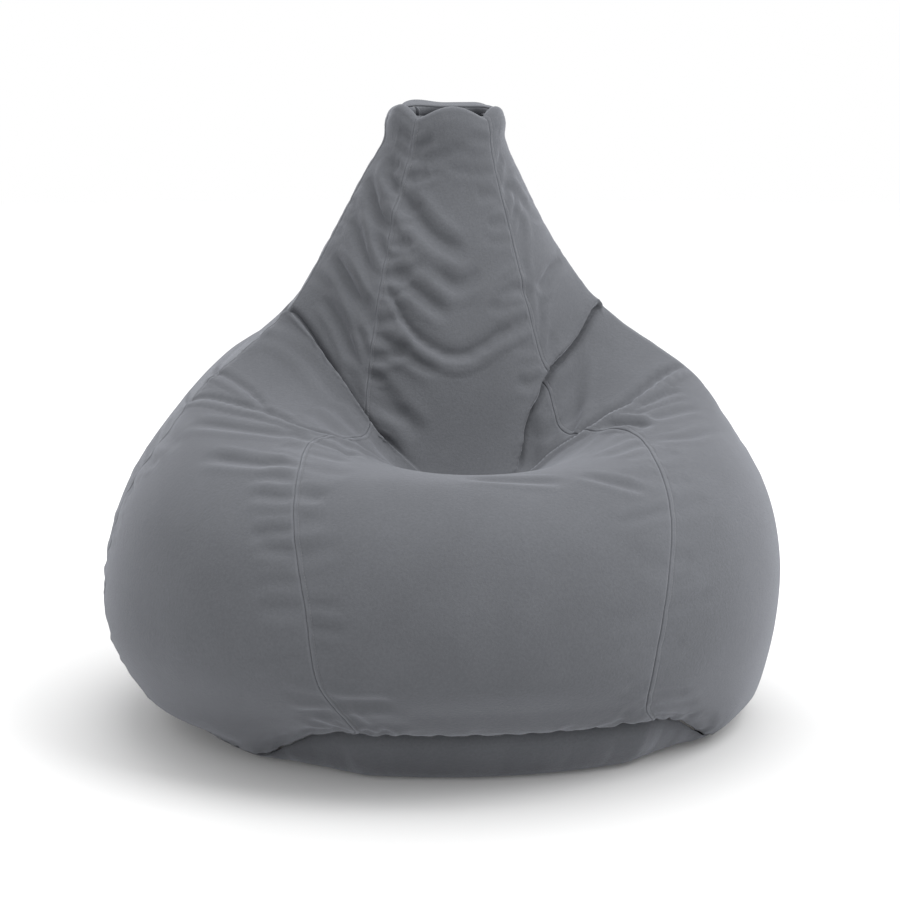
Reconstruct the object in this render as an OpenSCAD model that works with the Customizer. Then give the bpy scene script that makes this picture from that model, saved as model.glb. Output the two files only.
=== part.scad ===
// Bean bag chair: a pear-shaped outer cover of six panels, a hexagonal base and a small top cap,
// with a carry strap and a rear zip. Inside it are a zipped liner bag and the bead filling.
// Millimetres. +Z is up and the sitter faces -Y. The origin is on the floor, under the middle of the belly.

/* [Body] */
// Widest half width of the belly, at the sides
belly_r = 441; // [430:1:450]
// Height of the neck's top seam
neck_top_z = 780; // [770:2:790]
// Height of the front crest in front of the sitter
crest_z = 366; // [350:2:380]
// Depth of the seat hollow under the front crest
seat_depth = 64; // [50:2:70]
// Half width of the hexagonal base, at its corners
base_r = 368; // [355:1:372]
// How far the front of the base seam is lifted off the floor
front_lift = 68; // [55:1:72]

/* [Cloth] */
// Thickness of the outer cover's cloth
cover_t = 1.6; // [1.2:0.1:2]
// Thickness of the liner's cloth
liner_t = 0.8; // [0.6:0.1:1]
// Room between the cover's outer face and the liner's outer face
liner_depth = 10; // [9:0.5:11]
// Clearance on each side of a plain seam
seam_gap = 0.4; // [0.3:0.1:0.6]

/* [Strap] */
// Width of the carry strap
strap_w = 30; // [24:1:32]
// Thickness of the doubled strap
strap_t = 2.6; // [2:0.2:3]
// Half of the strap's outer length, from one sewn end to the other
strap_half = 64; // [58:1:65]

/* [Zips] */
// Half width of the opening that the cover's zip lies in
zip_slot = 8; // [7.5:0.5:9]
// Half width of the cover zip's closed coil
coil_half = 3.8; // [3.4:0.1:4]
// Height of the cover zip's coil
coil_h = 2.6; // [2.2:0.1:2.6]

/* [Hidden] */

cloth_colour = "#6b6e74";
thread_colour = "#5d6066";
zip_colour = "#4e5055";
metal_colour = "#8c8f93";
liner_colour = "#e9e8e4";
bead_colour = "#f7f7f5";

// Six panels, 60 degrees each. Angle 0 is the front (-Y) and +90 is the sitter's left (+X).
panel_angle = 60;
zip_seam = -150;
liner_zip_seam = 150;

// The belly's side profile is an arc. So is the rear profile, and the zips' sliders run along it.
side_arc_r = 324;
side_arc = [belly_r - side_arc_r, 181];
side_arc_from = -25;
side_arc_to = 40;
rear_arc_r = 390;
rear_arc = [55, 200];
rear_arc_from = -24;
rear_arc_to = 45;
arc_knots = 4;

function lerp(a, b, f) = a + (b - a) * f;
function clamp01(f) = min(1, max(0, f));
function smooth(f) = let (c = clamp01(f)) c * c * (3 - 2 * c);
function unit(v) = v / norm(v);
function along_arc(centre, r, a) = centre + r * [cos(a), sin(a)];
function arc_list(centre, r, from, to) =
    [for (k = [0 : arc_knots]) along_arc(centre, r, lerp(from, to, k / arc_knots))];

// Profiles from the base seam (knot 0) to the neck's top seam (last knot). Each row is one ring.
// side_line: [half width, z]
side_line = concat(
    [[base_r, 8], [382, 22]],
    arc_list(side_arc, side_arc_r, side_arc_from, side_arc_to),
    [[332, 434], [286, 468], [243, 498], [201, 540], [151, 618], [108, 700], [85, 745], [80, neck_top_z]]
);
// rear_line: [distance behind the origin, z]
rear_line = concat(
    [[base_r - 6, 8], [388, 17]],
    arc_list(rear_arc, rear_arc_r, rear_arc_from, rear_arc_to),
    [[307, 521], [295, 560], [286, 596], [278, 632], [267, 674], [256, 718], [250, 752]],
    [[246, neck_top_z + 4]]
);
// front_line: [y, z], over the crest, down into the seat and up the backrest
front_line = [
    [-358, front_lift], [-380, front_lift + 12], [-402, 108], [-432, 160], [-430, 245], [-383, crest_z - 42],
    [-305, crest_z], [-215, crest_z - 8], [-140, crest_z - 45], [-85, crest_z - seat_depth],
    [-42, 352], [2, 480], [58, 622], [86, 712], [95, neck_top_z - 3]
];
// Where the middle of each ring lies on Y, because the neck leans back
centre_line = [0, 0, 0, 0, 0, 0, 0, 50, 90, 118, 137, 152, 162, 167, 168];
// How far each ring has slumped towards +X: the front of the base, and then the arms and the neck
lean_line = [30, 30, 16, 0, 2, 7, 14, 24, 27, 27, 25, 22, 24, 28, 30];
// How far the front seams are drawn apart (above 0) or together (below 0), in degrees
drift_line = [0, -2, -4, -3, -1, 3, 7, 8, 3, 2, 7, 12, 14, 12, 8];
// How sharply each ring dips towards the front: 1 is round and 2.4 is a hollow between two arms
dip_line = [1, 1, 1, 1, 1, 1, 1.2, 1.8, 2.4, 2.4, 1.8, 1.2, 1, 1, 1];
// How much each ring is a hexagon with its corners on the seams: 1 has straight sides, 0 is round, and
// below 0 the panels swell out between the seams
hex_line = [0.35, 0.2, 0.1, -0.06, -0.08, -0.08, -0.06, 0, 0, 0, 0, 0, 0.1, 0.25, 0.5];
last_knot = len(side_line) - 1;
arc_start_knot = 2;
arc_end_knot = arc_start_knot + arc_knots;

// Catmull-Rom value of a table at knot t
function knot(table, t) =
    let (
        n = len(table) - 1,
        i = max(0, min(n - 1, floor(t))),
        f = t - i,
        a = table[max(0, i - 1)], b = table[i], c = table[i + 1], d = table[min(n, i + 2)]
    )
    b + 0.5 * f * (c - a + f * (2 * a - 5 * b + 4 * c - d + f * (3 * (b - c) + d - a)));

function rear_point(t) =
    t > arc_start_knot && t < arc_end_knot
        ? along_arc(rear_arc, rear_arc_r, lerp(rear_arc_from, rear_arc_to, (t - arc_start_knot) / arc_knots))
        : knot(rear_line, t);

// Outer face of the cover at angle th and knot t
function skin(th, t) =
    let (
        side = knot(side_line, t), rear = rear_point(t), front = knot(front_line, t),
        yc = knot(centre_line, t), dip = knot(dip_line, t),
        turned = th + sign(th) * knot(drift_line, t) * clamp01(min(abs(th) / 30, (90 - abs(th)) / 60)),
        c = cos(turned), behind = c < 0, w = smooth((abs(th) - 90) / 60),
        off_middle = abs(abs(th) % panel_angle - (abs(th) % panel_angle > panel_angle / 2 ? panel_angle : 0)),
        bulge = lerp(1, cos(panel_angle / 2) / cos(off_middle), knot(hex_line, t)),
        r = behind ? lerp(side[0], rear[0] - yc, w) : side[0],
        y = behind ? yc - r * c * bulge : yc + (front[0] - yc) * pow(c, dip) * bulge,
        z = behind ? lerp(side[1], rear[1], w) : lerp(side[1], front[1], rise_share(c, t, dip))
    )
    [lean_at(th, t) + r * sin(turned) * bulge, y, z];
// How far a ring has risen from its height at the sides to its height in front. The base seam is lifted
// evenly along the front panel, and drops on both sides of it.
function rise_share(c, t, dip) =
    lerp(smooth((c - 0.55) / 0.33), pow(c, max(1.6, 1.25 * dip)), smooth(t / 3));
// The rear seams don't lean below the top of the zips, so that the zips lie in flat planes
function lean_at(th, t) =
    knot(lean_line, t) * max(smooth((t - arc_end_knot) / 1.5), 1 - smooth((abs(th) - 90) / 50));

// Outward direction of the skin, which turns to straight down at the base seam
function skin_out(th, t) =
    let (
        across = skin(wrap(th + 0.5), t) - skin(wrap(th - 0.5), t),
        up = skin(th, t + 0.02) - skin(th, t - 0.02)
    )
    unit(lerp([0, 0, -1], unit(cross(across, up)), smooth(t / 0.6)));
function wrap(th) = th > 180 ? th - 360 : th < -180 ? th + 360 : th;
function skin_in(th, t, depth) = skin(wrap(th), t) - depth * skin_out(wrap(th), t);

// Rows used by the cover: denser where the profile turns fast
skin_rows = [
    0, 0.35, 0.7, 1, 1.35, 1.7, 2, 2.4, 2.8, 3.2, 3.6, 4, 4.4, 4.8, 5.2, 5.6, 6, 6.4, 6.8,
    7.2, 7.6, 8, 8.4, 8.8, 9.2, 9.6, 10, 10.4, 10.8, 11.3, 11.8, 12.4, 13, 13.5, 14
];
inner_rows = [for (t = skin_rows) if (t < 13.2) t, 13.4];

// The zips: knot of an angle on the rear arc, and how far a zip opens a seam at knot t
function knot_at_angle(a) = arc_start_knot + arc_knots * (a - rear_arc_from) / (rear_arc_to - rear_arc_from);
zip_from = -20;
zip_to = 38;
slot_taper = 0.25;
function slot_half(t, half) =
    let (
        opening = smooth((t - knot_at_angle(zip_from + 1)) / slot_taper + 1),
        closing = smooth((knot_at_angle(zip_to) - t) / slot_taper + 1)
    )
    lerp(seam_gap, half, opening * closing);

// The angle that a distance along a ring takes up
function gap_angle(th, t, mm) = mm / norm(skin(wrap(th + 0.5), t) - skin(wrap(th - 0.5), t));
function edge_mm(seam, t) = seam == zip_seam ? slot_half(t, zip_slot) : seam_gap;

// Closed solid between two grids of points of the same size: first grid outside, second inside
module grid_solid(outer, inner) {
    rows = len(outer);
    cols = len(outer[0]);
    n = rows * cols;
    points = concat([for (r = outer) for (p = r) p], [for (r = inner) for (p = r) p]);
    function at(i, j) = i * cols + j;
    skin_faces = [
        for (i = [0 : rows - 2]) for (j = [0 : cols - 2])
            each [[at(i, j), at(i + 1, j + 1), at(i, j + 1)], [at(i, j), at(i + 1, j), at(i + 1, j + 1)]]
    ];
    inner_faces = [for (f = skin_faces) [f[0] + n, f[2] + n, f[1] + n]];
    rim = concat(
        [for (j = [0 : cols - 1]) at(0, j)],
        [for (i = [1 : rows - 1]) at(i, cols - 1)],
        [for (j = [cols - 2 : -1 : 0]) at(rows - 1, j)],
        [for (i = [rows - 2 : -1 : 1]) at(i, 0)]
    );
    rim_faces = [
        for (k = [0 : len(rim) - 1])
            let (a = rim[k], b = rim[(k + 1) % len(rim)])
            each [[a, b, b + n], [a, b + n, a + n]]
    ];
    polyhedron(points, concat(skin_faces, inner_faces, rim_faces));
}

// Closed solid of stacked rings, each with the same number of points, with flat fans at both ends
module ring_solid(rings) {
    rows = len(rings);
    cols = len(rings[0]);
    points = [for (r = rings) for (p = r) p];
    side_faces = [
        for (i = [0 : rows - 2]) for (j = [0 : cols - 1])
            let (a = i * cols + j, b = i * cols + (j + 1) % cols)
            each [[a, b + cols, b], [a, a + cols, b + cols]]
    ];
    bottom = [for (j = [0 : cols - 1]) j];
    top = [for (j = [cols - 1 : -1 : 0]) (rows - 1) * cols + j];
    polyhedron(points, concat(side_faces, [bottom, top]));
}

// One cover panel, from its right-hand seam to its left-hand seam
panel_cols = 8;
module cover_panel(middle) {
    from = middle - panel_angle / 2;
    to = middle + panel_angle / 2;
    function column(t, f) = lerp(
        from + gap_angle(wrap(from), t, edge_mm(wrap(from), t)),
        to - gap_angle(wrap(to), t, edge_mm(wrap(to), t)), f
    );
    outer = [for (t = skin_rows) [for (j = [0 : panel_cols]) skin_in(column(t, j / panel_cols), t, 0)]];
    inner = [for (t = skin_rows) [for (j = [0 : panel_cols]) skin_in(column(t, j / panel_cols), t, cover_t)]];
    color(cloth_colour) grid_solid(outer, inner);
}

// The base: flat on the floor, with a rim that curls up to the base seam
base_flat = 0.86;
base_reach = 0.997;
base_shares = [0.3, base_flat, 0.91, 0.96, 1];
base_cols = 36;
function base_point(th, share, lift, reach) =
    let (ring = skin(wrap(th), 0), curl = clamp01((share - base_flat) / (1 - base_flat)))
    [ring[0] * share * reach, ring[1] * share * reach, ring[2] * curl * curl + lift];
function base_ring(share, lift, reach) =
    [for (j = [0 : base_cols - 1]) base_point(-180 + 360 * j / base_cols, share, lift, reach)];

// A dish-shaped sheet: rings from the middle of its underside to its rim and back along its top
module dish(lower, thickness) {
    rings = [for (s = base_shares) base_ring(s, lower, base_reach)];
    upper = [for (s = base_shares) base_ring(s, lower + thickness, base_reach)];
    back_rings = [for (i = [len(upper) - 1 : -1 : 0]) upper[i]];
    ring_solid(concat(rings, back_rings));
}

module base_panel() {
    color(cloth_colour) dish(0, cover_t);
}

// The cap: a small hexagonal dome inside the panels' top edges
cap_rise = 6;
cap_reach = 0.972;
cap_centre = [lean_line[last_knot], centre_line[last_knot], neck_top_z];
function cap_point(th, share, drop) =
    let (place = lerp(cap_centre, skin(wrap(th), last_knot), share))
    [place[0], place[1], neck_top_z - 4 + cap_rise * (1 - share * share) - drop];
function cap_ring(share, drop) =
    [for (j = [0 : base_cols - 1]) cap_point(-180 + 360 * j / base_cols, share, drop)];
module cap_dome(reach, drop, thickness) {
    shares = [reach, reach * 0.7, reach * 0.35];
    under = [for (i = [2 : -1 : 0]) cap_ring(shares[i], drop + thickness)];
    over = [for (i = [0 : 2]) cap_ring(shares[i], drop)];
    ring_solid(concat(under, over));
}
module top_cap() {
    color(cloth_colour) cap_dome(cap_reach, 0, cover_t);
}

// The carry strap: a low arch across the cap, which tips fore and aft on its two rolled ends
strap_lift = 4;
strap_pivot = cap_centre + [0, 0, strap_lift];
strap_top_z = 800;
strap_corner_r = 12;
end_half = 0.6;
end_r = 1.4;
module strap_outline(inset) {
    half = strap_half - inset;
    top = strap_top_z - strap_pivot[2] - inset;
    hull() {
        for (s = [-1, 1]) translate([s * (half - strap_corner_r), top - strap_corner_r])
            circle(strap_corner_r - inset, $fn = 32);
        translate([-half, -1]) square([2 * half, 1]);
    }
}
module carry_strap() {
    wide = strap_w / 2;
    top = strap_top_z - strap_pivot[2] + 1;
    color(cloth_colour) translate(strap_pivot) {
        for (side = [-1, 1]) translate([side * (strap_half - strap_t / 2), 0, 0])
            rotate([0, 90, 0]) cylinder(h = strap_t, r = end_r, center = true, $fn = 32);
        strap_arch(wide, top);
    }
}
module strap_arch(wide, top) {
    intersection() {
        translate([0, wide, 0]) rotate([90, 0, 0]) linear_extrude(strap_w) difference() {
            strap_outline(0);
            strap_outline(strap_t);
            translate([-strap_half - 1, -2]) square([2 * strap_half + 2, 2]);
        }
        rotate([90, 0, 90]) translate([0, 0, -strap_half - 1]) linear_extrude(2 * strap_half + 2)
            polygon([
                [-end_half, 0], [end_half, 0], [wide, wide - end_half],
                [wide, top], [-wide, top], [-wide, wide - end_half]
            ]);
    }
}

// Tabs sewn to the cap, which hold the strap's ends
tab_len = 14;
tab_w = 24;
tab_gap = end_r + 0.5;
tab_low = neck_top_z + 0.6;
module strap_tabs() {
    height = strap_pivot[2] - tab_gap - tab_low;
    color(cloth_colour) for (side = [-1, 1])
        translate([strap_pivot[0] + side * (strap_half - tab_len / 2), strap_pivot[1], tab_low + height / 2])
            cube([tab_len, tab_w, height], center = true);
}

// Sewing thread: a thin four-sided line that lies just above the skin beside a seam
thread_r = 0.45;
stitch_offset = 6;
side_thread_clear = 0.9;
base_thread_clear = 1.7;
base_thread_row = 0.45;
cap_thread_clear = 0.4;
cap_thread_share = 0.86;
function thread_ring(p, out, side) = [
    for (k = [0 : 3]) let (a = 45 + 90 * k) p + thread_r * (cos(a) * side + sin(a) * out)
];
function thread_place(th, t) = skin_in(th, t, -thread_r - side_thread_clear);
function seam_thread_rings(seam, side_sign) = [
    for (t = skin_rows)
        if (t > 0.3 && t < last_knot - 0.2)
            let (
                mm = edge_mm(seam, t) + stitch_offset,
                th = wrap(seam + side_sign * gap_angle(seam, t, mm)),
                out = skin_out(th, t),
                up = unit(skin(th, t + 0.02) - skin(th, t - 0.02))
            )
            thread_ring(thread_place(th, t), out, cross(up, out))
];
module side_seam_thread() {
    color(thread_colour) for (k = [0 : 5]) {
        seam = wrap(-150 + k * panel_angle);
        ring_solid(seam_thread_rings(seam, 1));
        if (seam == zip_seam) ring_solid(seam_thread_rings(seam, -1));
    }
}

// A thread that runs all the way round, as a closed loop of four-sided rings
module loop_thread(centres, outs, sides) {
    n = len(centres);
    points = [for (i = [0 : n - 1]) each thread_ring(centres[i], outs[i], sides[i])];
    faces = [
        for (i = [0 : n - 1]) for (k = [0 : 3])
            let (m = (i + 1) % n, l = (k + 1) % 4, a = 4 * i + k, b = 4 * i + l, c = 4 * m + k, d = 4 * m + l)
            each [[a, d, b], [a, c, d]]
    ];
    polyhedron(points, faces);
}
loop_cols = 72;
loop_angles = [for (j = [0 : loop_cols - 1]) -180 + 360 * (j + 0.5) / loop_cols];
module round_thread(place, outs) {
    sides = [for (i = [0 : loop_cols - 1]) unit(cross(outs[i], place[(i + 1) % loop_cols] - place[i]))];
    color(thread_colour) loop_thread(place, outs, sides);
}
module base_seam_thread() {
    place = [for (th = loop_angles) skin_in(th, base_thread_row, -thread_r - base_thread_clear)];
    round_thread(place, [for (th = loop_angles) skin_out(th, base_thread_row)]);
}
module cap_seam_thread() {
    place = [for (th = loop_angles) cap_point(th, cap_thread_share, -thread_r - cap_thread_clear)];
    round_thread(place, [for (th = loop_angles) [0, 0, 1]]);
}

// Zip geometry. Everything on a zip is turned about the rear arc's centre, in the plane of its seam.
// In that frame the zip's radius is measured from the axis, and z runs across the seam.
module on_arc(seam) {
    direction = [sin(seam), -cos(seam)];
    translate([rear_arc[0] * direction[0], rear_arc[0] * direction[1], rear_arc[1]])
        rotate([0, 0, seam - 90]) rotate([90, 0, 0]) children();
}
// A band from radius r0 to r1 and from across z0 to z1, over the angles a0 to a1
module arc_band(r0, r1, z0, z1, a0, a1) {
    rotate([0, 0, a0]) rotate_extrude(angle = a1 - a0, $fn = 360)
        translate([r0, z0]) square([r1 - r0, z1 - z0]);
}
// A block on the arc at angle a: from radius r0 to r1, across z0 to z1, and length along the zip
module arc_block(r0, r1, z0, z1, a, length) {
    rotate([0, 0, a]) translate([r0, -length / 2, z0]) cube([r1 - r0, length, z1 - z0]);
}

tape_t = 0.8;
tape_w = 16;
zip_clear = 0.4;
// Room between a tape's outer face and its coil
coil_gap = 0.05;
// The two halves stand this far from the seam's plane, so that the slider's post passes between them
half_split = 0.7;
post_half = 0.35;
cover_tape_r = rear_arc_r - cover_t - 2.2 - tape_t;
module zip_tape(seam, tape_r, side, width, a0, a1) {
    z0 = side > 0 ? half_split : -width;
    z1 = side > 0 ? width : -half_split;
    on_arc(seam) arc_band(tape_r, tape_r + tape_t, z0, z1, a0, a1);
}
module zip_coil(seam, tape_r, half, height, a0, a1) {
    low = tape_r + tape_t + coil_gap;
    on_arc(seam) {
        arc_band(low, low + height, half_split, half, a0, a1);
        arc_band(low, low + height, -half, -half_split, a0, a1);
    }
}
// Slider: an inner and an outer plate joined by a thin post, with side flanges that keep the coil in
slider_wall = 1.6;
plate_t = 1.2;
module zip_slider(seam, tape_r, half, height, a, length) {
    low = tape_r - zip_clear - plate_t;
    high = tape_r + tape_t + coil_gap + height + zip_clear;
    width = half + zip_clear + slider_wall;
    flange_low = tape_r + tape_t + 0.3;
    on_arc(seam) {
        arc_block(low, low + plate_t, -width, width, a, length);
        arc_block(high, high + plate_t, -width, width, a, length);
        arc_block(low, high + plate_t, -post_half, post_half, a, length * 0.8);
        for (s = [-1, 1]) {
            z0 = s > 0 ? width - slider_wall : -width;
            arc_block(flange_low, high + 0.2, z0, z0 + slider_wall, a, length);
        }
    }
}
zip_stop_len = 4;
module zip_stops(seam, tape_r, half, height, a0, a1) {
    low = tape_r + tape_t + coil_gap;
    on_arc(seam) for (a = [a0, a1])
        arc_block(low, low + height + 0.3, -half - 0.6, half + 0.6, a, zip_stop_len);
}

// Angles along the arc, upwards from level: the tapes run on past the opening at both ends
tape_from = zip_from - 3;
tape_to = zip_to + 6;
stop_from = zip_from + 1.4;
stop_to = zip_to - 0.4;
coil_from = stop_from + 0.4;
coil_to = stop_to - 0.4;
slider_rest = zip_from + 3;
slider_len = 14;
module cover_zip_tape_left()
    color(zip_colour) zip_tape(zip_seam, cover_tape_r, 1, tape_w, tape_from, tape_to);
module cover_zip_tape_right()
    color(zip_colour) zip_tape(zip_seam, cover_tape_r, -1, tape_w, tape_from, tape_to);
module cover_zip_coil()
    color(zip_colour) zip_coil(zip_seam, cover_tape_r, coil_half, coil_h, coil_from, coil_to);
module cover_zip_stops()
    color(metal_colour) zip_stops(zip_seam, cover_tape_r, coil_half, coil_h, stop_from, stop_to);

// The pull hangs from a bridge on the slider's outer plate
slider_top_r = cover_tape_r + tape_t + coil_gap + coil_h + zip_clear + plate_t;
bridge_h = 3.4;
bridge_half = 1.3;
pin_r = 0.8;
pin_height = slider_top_r + 1.7;
module cover_zip_slider() {
    color(metal_colour) difference() {
        union() {
            zip_slider(zip_seam, cover_tape_r, coil_half, coil_h, slider_rest, slider_len);
            on_arc(zip_seam)
                arc_block(slider_top_r - 0.2, slider_top_r + bridge_h, -bridge_half, bridge_half, slider_rest, 7);
        }
        on_arc(zip_seam) rotate([0, 0, slider_rest])
            translate([pin_height, 0, 0]) cylinder(h = 4, r = pin_r + 0.05, center = true, $fn = 32);
    }
}
// The pull: a pin through the bridge, two cheeks and a tab that hangs straight down
pull_len = 30;
pull_w = 8;
pull_t = 1.4;
cheek_inner = bridge_half + 0.3;
cheek_len = 9;
module cover_zip_pull() {
    color(metal_colour) on_arc(zip_seam) rotate([0, 0, slider_rest]) translate([pin_height, 0, 0])
        rotate([0, 0, -90 - slider_rest]) {
            cylinder(h = pull_w, r = pin_r, center = true, $fn = 32);
            for (s = [-1, 1]) {
                z0 = s > 0 ? cheek_inner : -pull_w / 2;
                translate([0, -pull_t / 2, z0]) cube([cheek_len, pull_t, pull_w / 2 - cheek_inner]);
            }
            translate([cheek_len - 0.4, -pull_t / 2, -pull_w / 2])
                cube([pull_len - cheek_len + 0.4, pull_t, pull_w]);
        }
}

// A blank care label, folded into the seam beside the zip's upper end
label_w = 30;
label_t = 0.5;
label_len = 60;
label_across = -48;
label_r = rear_arc_r - cover_t - 5.4;
label_angle = 20;
module care_label() {
    color(liner_colour) on_arc(zip_seam)
        arc_block(label_r, label_r + label_t, label_across, label_across + label_w, label_angle, label_len);
}

// The liner: a looser inner bag with a zip of its own and no pull, so that children can't open it
liner_slot = 7;
liner_cols = 36;
function liner_edge(t) = gap_angle(liner_zip_seam, t, slot_half(t, liner_slot) * 1.03);
module liner_side() {
    function column(t, f) = lerp(liner_zip_seam + liner_edge(t), liner_zip_seam + 360 - liner_edge(t), f);
    function grid(depth) =
        [for (t = inner_rows) [for (j = [0 : liner_cols]) skin_in(column(t, j / liner_cols), t, depth)]];
    color(liner_colour) grid_solid(grid(liner_depth), grid(liner_depth + liner_t));
}
liner_top_row = inner_rows[len(inner_rows) - 1];
module liner_base() {
    color(liner_colour) dish(liner_depth, liner_t);
}
function neck_ring(depth, share, rise) =
    let (centre = (skin(0, liner_top_row) + skin(180, liner_top_row)) / 2)
    [
        for (j = [0 : base_cols - 1])
            lerp(centre, skin_in(-180 + 360 * j / base_cols, liner_top_row, depth), share) + [0, 0, rise]
    ];
module liner_top() {
    depth = liner_depth + liner_t + 0.5;
    middle = 0.02;
    color(liner_colour) ring_solid([
        neck_ring(depth, middle, 4), neck_ring(depth, 0.97, -3),
        neck_ring(depth, 0.97, -3 + liner_t), neck_ring(depth, middle, 4 + liner_t)
    ]);
}
liner_tape_r = rear_arc_r - liner_depth + 0.5;
liner_tape_w = 12;
liner_coil_half = 2.8;
liner_coil_h = 2;
liner_slider_rest = zip_from + 2.8;
liner_slider_len = 11;
module liner_zip_tape_left()
    color(liner_colour) zip_tape(liner_zip_seam, liner_tape_r, 1, liner_tape_w, tape_from, tape_to);
module liner_zip_tape_right()
    color(liner_colour) zip_tape(liner_zip_seam, liner_tape_r, -1, liner_tape_w, tape_from, tape_to);
module liner_zip_coil()
    color(liner_colour) zip_coil(liner_zip_seam, liner_tape_r, liner_coil_half, liner_coil_h, coil_from, coil_to);
module liner_zip_stops() color(metal_colour)
    zip_stops(liner_zip_seam, liner_tape_r, liner_coil_half, liner_coil_h, stop_from, stop_to);
module liner_zip_slider() color(metal_colour)
    zip_slider(liner_zip_seam, liner_tape_r, liner_coil_half, liner_coil_h, liner_slider_rest, liner_slider_len);

// The filling: loose polystyrene beads, as the one solid that they pack into
fill_gap = 2;
fill_reach = 0.975;
module bead_fill() {
    depth = liner_depth + liner_t + fill_gap;
    wall = [
        for (t = inner_rows)
            if (t > 0.5 && t < liner_top_row - 0.1)
                [for (j = [0 : base_cols - 1]) skin_in(-180 + 360 * j / base_cols, t, depth)]
    ];
    floor_rings = [for (s = [base_flat, 0.94, 1]) base_ring(s, depth, fill_reach)];
    color(bead_colour) ring_solid(concat(floor_rings, wall));
}

cover_panel(0);  // front_panel
cover_panel(60);  // front_right_panel
cover_panel(120);  // rear_right_panel
cover_panel(180);  // back_panel
cover_panel(-120);  // rear_left_panel
cover_panel(-60);  // front_left_panel
base_panel();
top_cap();
carry_strap();
strap_tabs();
side_seam_thread();
base_seam_thread();
cap_seam_thread();
cover_zip_tape_left();
cover_zip_tape_right();
cover_zip_coil();
cover_zip_stops();
cover_zip_slider();
cover_zip_pull();
care_label();
liner_side();
liner_base();
liner_top();
liner_zip_tape_left();
liner_zip_tape_right();
liner_zip_coil();
liner_zip_stops();
liner_zip_slider();
bead_fill();
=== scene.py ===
"""Bean bag chair: sewn cover with stitching, zip, strap and label, a zipped liner and its bead filling.

The cover starts as the CAD skin. Folds, tucks and seam puckers are pressed into it, and a cloth relaxation
then lets the surplus cloth beside the seams buckle, as it does on a filled bag. Lengths are in metres, in
the frame's own axes. Left and right in names and comments are as seen from the front, unless they are the
sitter's.
"""

import bpy
import numpy as np
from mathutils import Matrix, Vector


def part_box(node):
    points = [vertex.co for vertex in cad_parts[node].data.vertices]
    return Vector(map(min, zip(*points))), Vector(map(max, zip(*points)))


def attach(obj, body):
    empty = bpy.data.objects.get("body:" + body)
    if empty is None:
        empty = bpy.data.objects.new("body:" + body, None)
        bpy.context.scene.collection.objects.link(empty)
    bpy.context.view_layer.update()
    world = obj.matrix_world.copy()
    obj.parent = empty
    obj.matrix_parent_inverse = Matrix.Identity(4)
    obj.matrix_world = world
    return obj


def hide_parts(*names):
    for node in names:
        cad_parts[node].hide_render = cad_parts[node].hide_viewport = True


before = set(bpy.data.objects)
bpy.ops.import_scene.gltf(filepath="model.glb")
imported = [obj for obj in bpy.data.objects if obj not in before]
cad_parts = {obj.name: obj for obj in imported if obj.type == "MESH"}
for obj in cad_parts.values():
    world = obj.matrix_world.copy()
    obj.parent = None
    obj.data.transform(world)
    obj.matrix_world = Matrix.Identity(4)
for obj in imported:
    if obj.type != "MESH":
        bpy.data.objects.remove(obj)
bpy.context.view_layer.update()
MM = 0.001

# ---- The skin: the same profiles as in part.scad, from the base seam (knot 0) to the neck's top (knot 14)
LAST_KNOT = 14
ARC_FROM, ARC_TO = 2, 6
REAR_ARC = (0.055, 0.200)
REAR_ARC_R = 0.390
REAR_ANGLES = (-24, 45)
ZIP_SEAM, LINER_ZIP_SEAM = -150, 150
ZIP_ANGLES = (-20, 38)


def arc_list(centre, radius, angles):
    """Five points on an arc, for knots ARC_FROM to ARC_TO."""
    turn = np.radians(np.linspace(*angles, 5))
    return [(centre[0] + radius * np.cos(a), centre[1] + radius * np.sin(a)) for a in turn]


# (out, up) of the outline at the sides, behind and in front
SIDE = np.array([(0.368, 0.008), (0.382, 0.022), *arc_list((0.117, 0.181), 0.324, (-25, 40)),
                 (0.332, 0.434), (0.286, 0.468), (0.243, 0.498), (0.201, 0.540), (0.151, 0.618),
                 (0.108, 0.700), (0.085, 0.745), (0.080, 0.780)])
REAR = np.array([(0.362, 0.008), (0.388, 0.017), *arc_list(REAR_ARC, REAR_ARC_R, REAR_ANGLES),
                 (0.307, 0.521), (0.295, 0.560), (0.286, 0.596), (0.278, 0.632), (0.267, 0.674),
                 (0.256, 0.718), (0.250, 0.752), (0.246, 0.784)])
FRONT = np.array([(-0.358, 0.068), (-0.380, 0.080), (-0.402, 0.108), (-0.432, 0.160), (-0.430, 0.245),
                  (-0.383, 0.324), (-0.305, 0.366), (-0.215, 0.358), (-0.140, 0.321), (-0.085, 0.302),
                  (-0.042, 0.352), (0.002, 0.480), (0.058, 0.622), (0.086, 0.712), (0.095, 0.777)])
# at each knot: middle of the depth, lean to the sitter's left, turn of the front seams in degrees, how
# narrow the hollow in front is, and how hexagonal the ring is
CENTRE = np.array([0, 0, 0, 0, 0, 0, 0, 0.050, 0.090, 0.118, 0.137, 0.152, 0.162, 0.167, 0.168])
LEAN = np.array([0.030, 0.030, 0.016, 0, 0.002, 0.007, 0.014, 0.024, 0.027, 0.027, 0.025, 0.022, 0.024,
                 0.028, 0.030])
DRIFT = np.array([0, -2, -4, -3, -1, 3, 7, 8, 3, 2, 7, 12, 14, 12, 8.0])
DIP = np.array([1, 1, 1, 1, 1, 1, 1.2, 1.8, 2.4, 2.4, 1.8, 1.2, 1, 1, 1])
HEX = np.array([0.35, 0.2, 0.1, -0.06, -0.08, -0.08, -0.06, 0, 0, 0, 0, 0, 0.1, 0.25, 0.5])
BASE_CENTRE = np.array([0.02, 0, 0])
NECK_CENTRE = np.array([LEAN[-1], CENTRE[-1], 0])
UP = np.array([0, 0, 1.0])


def smooth(x):
    x = np.clip(x, 0, 1)
    return x * x * (3 - 2 * x)


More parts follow.
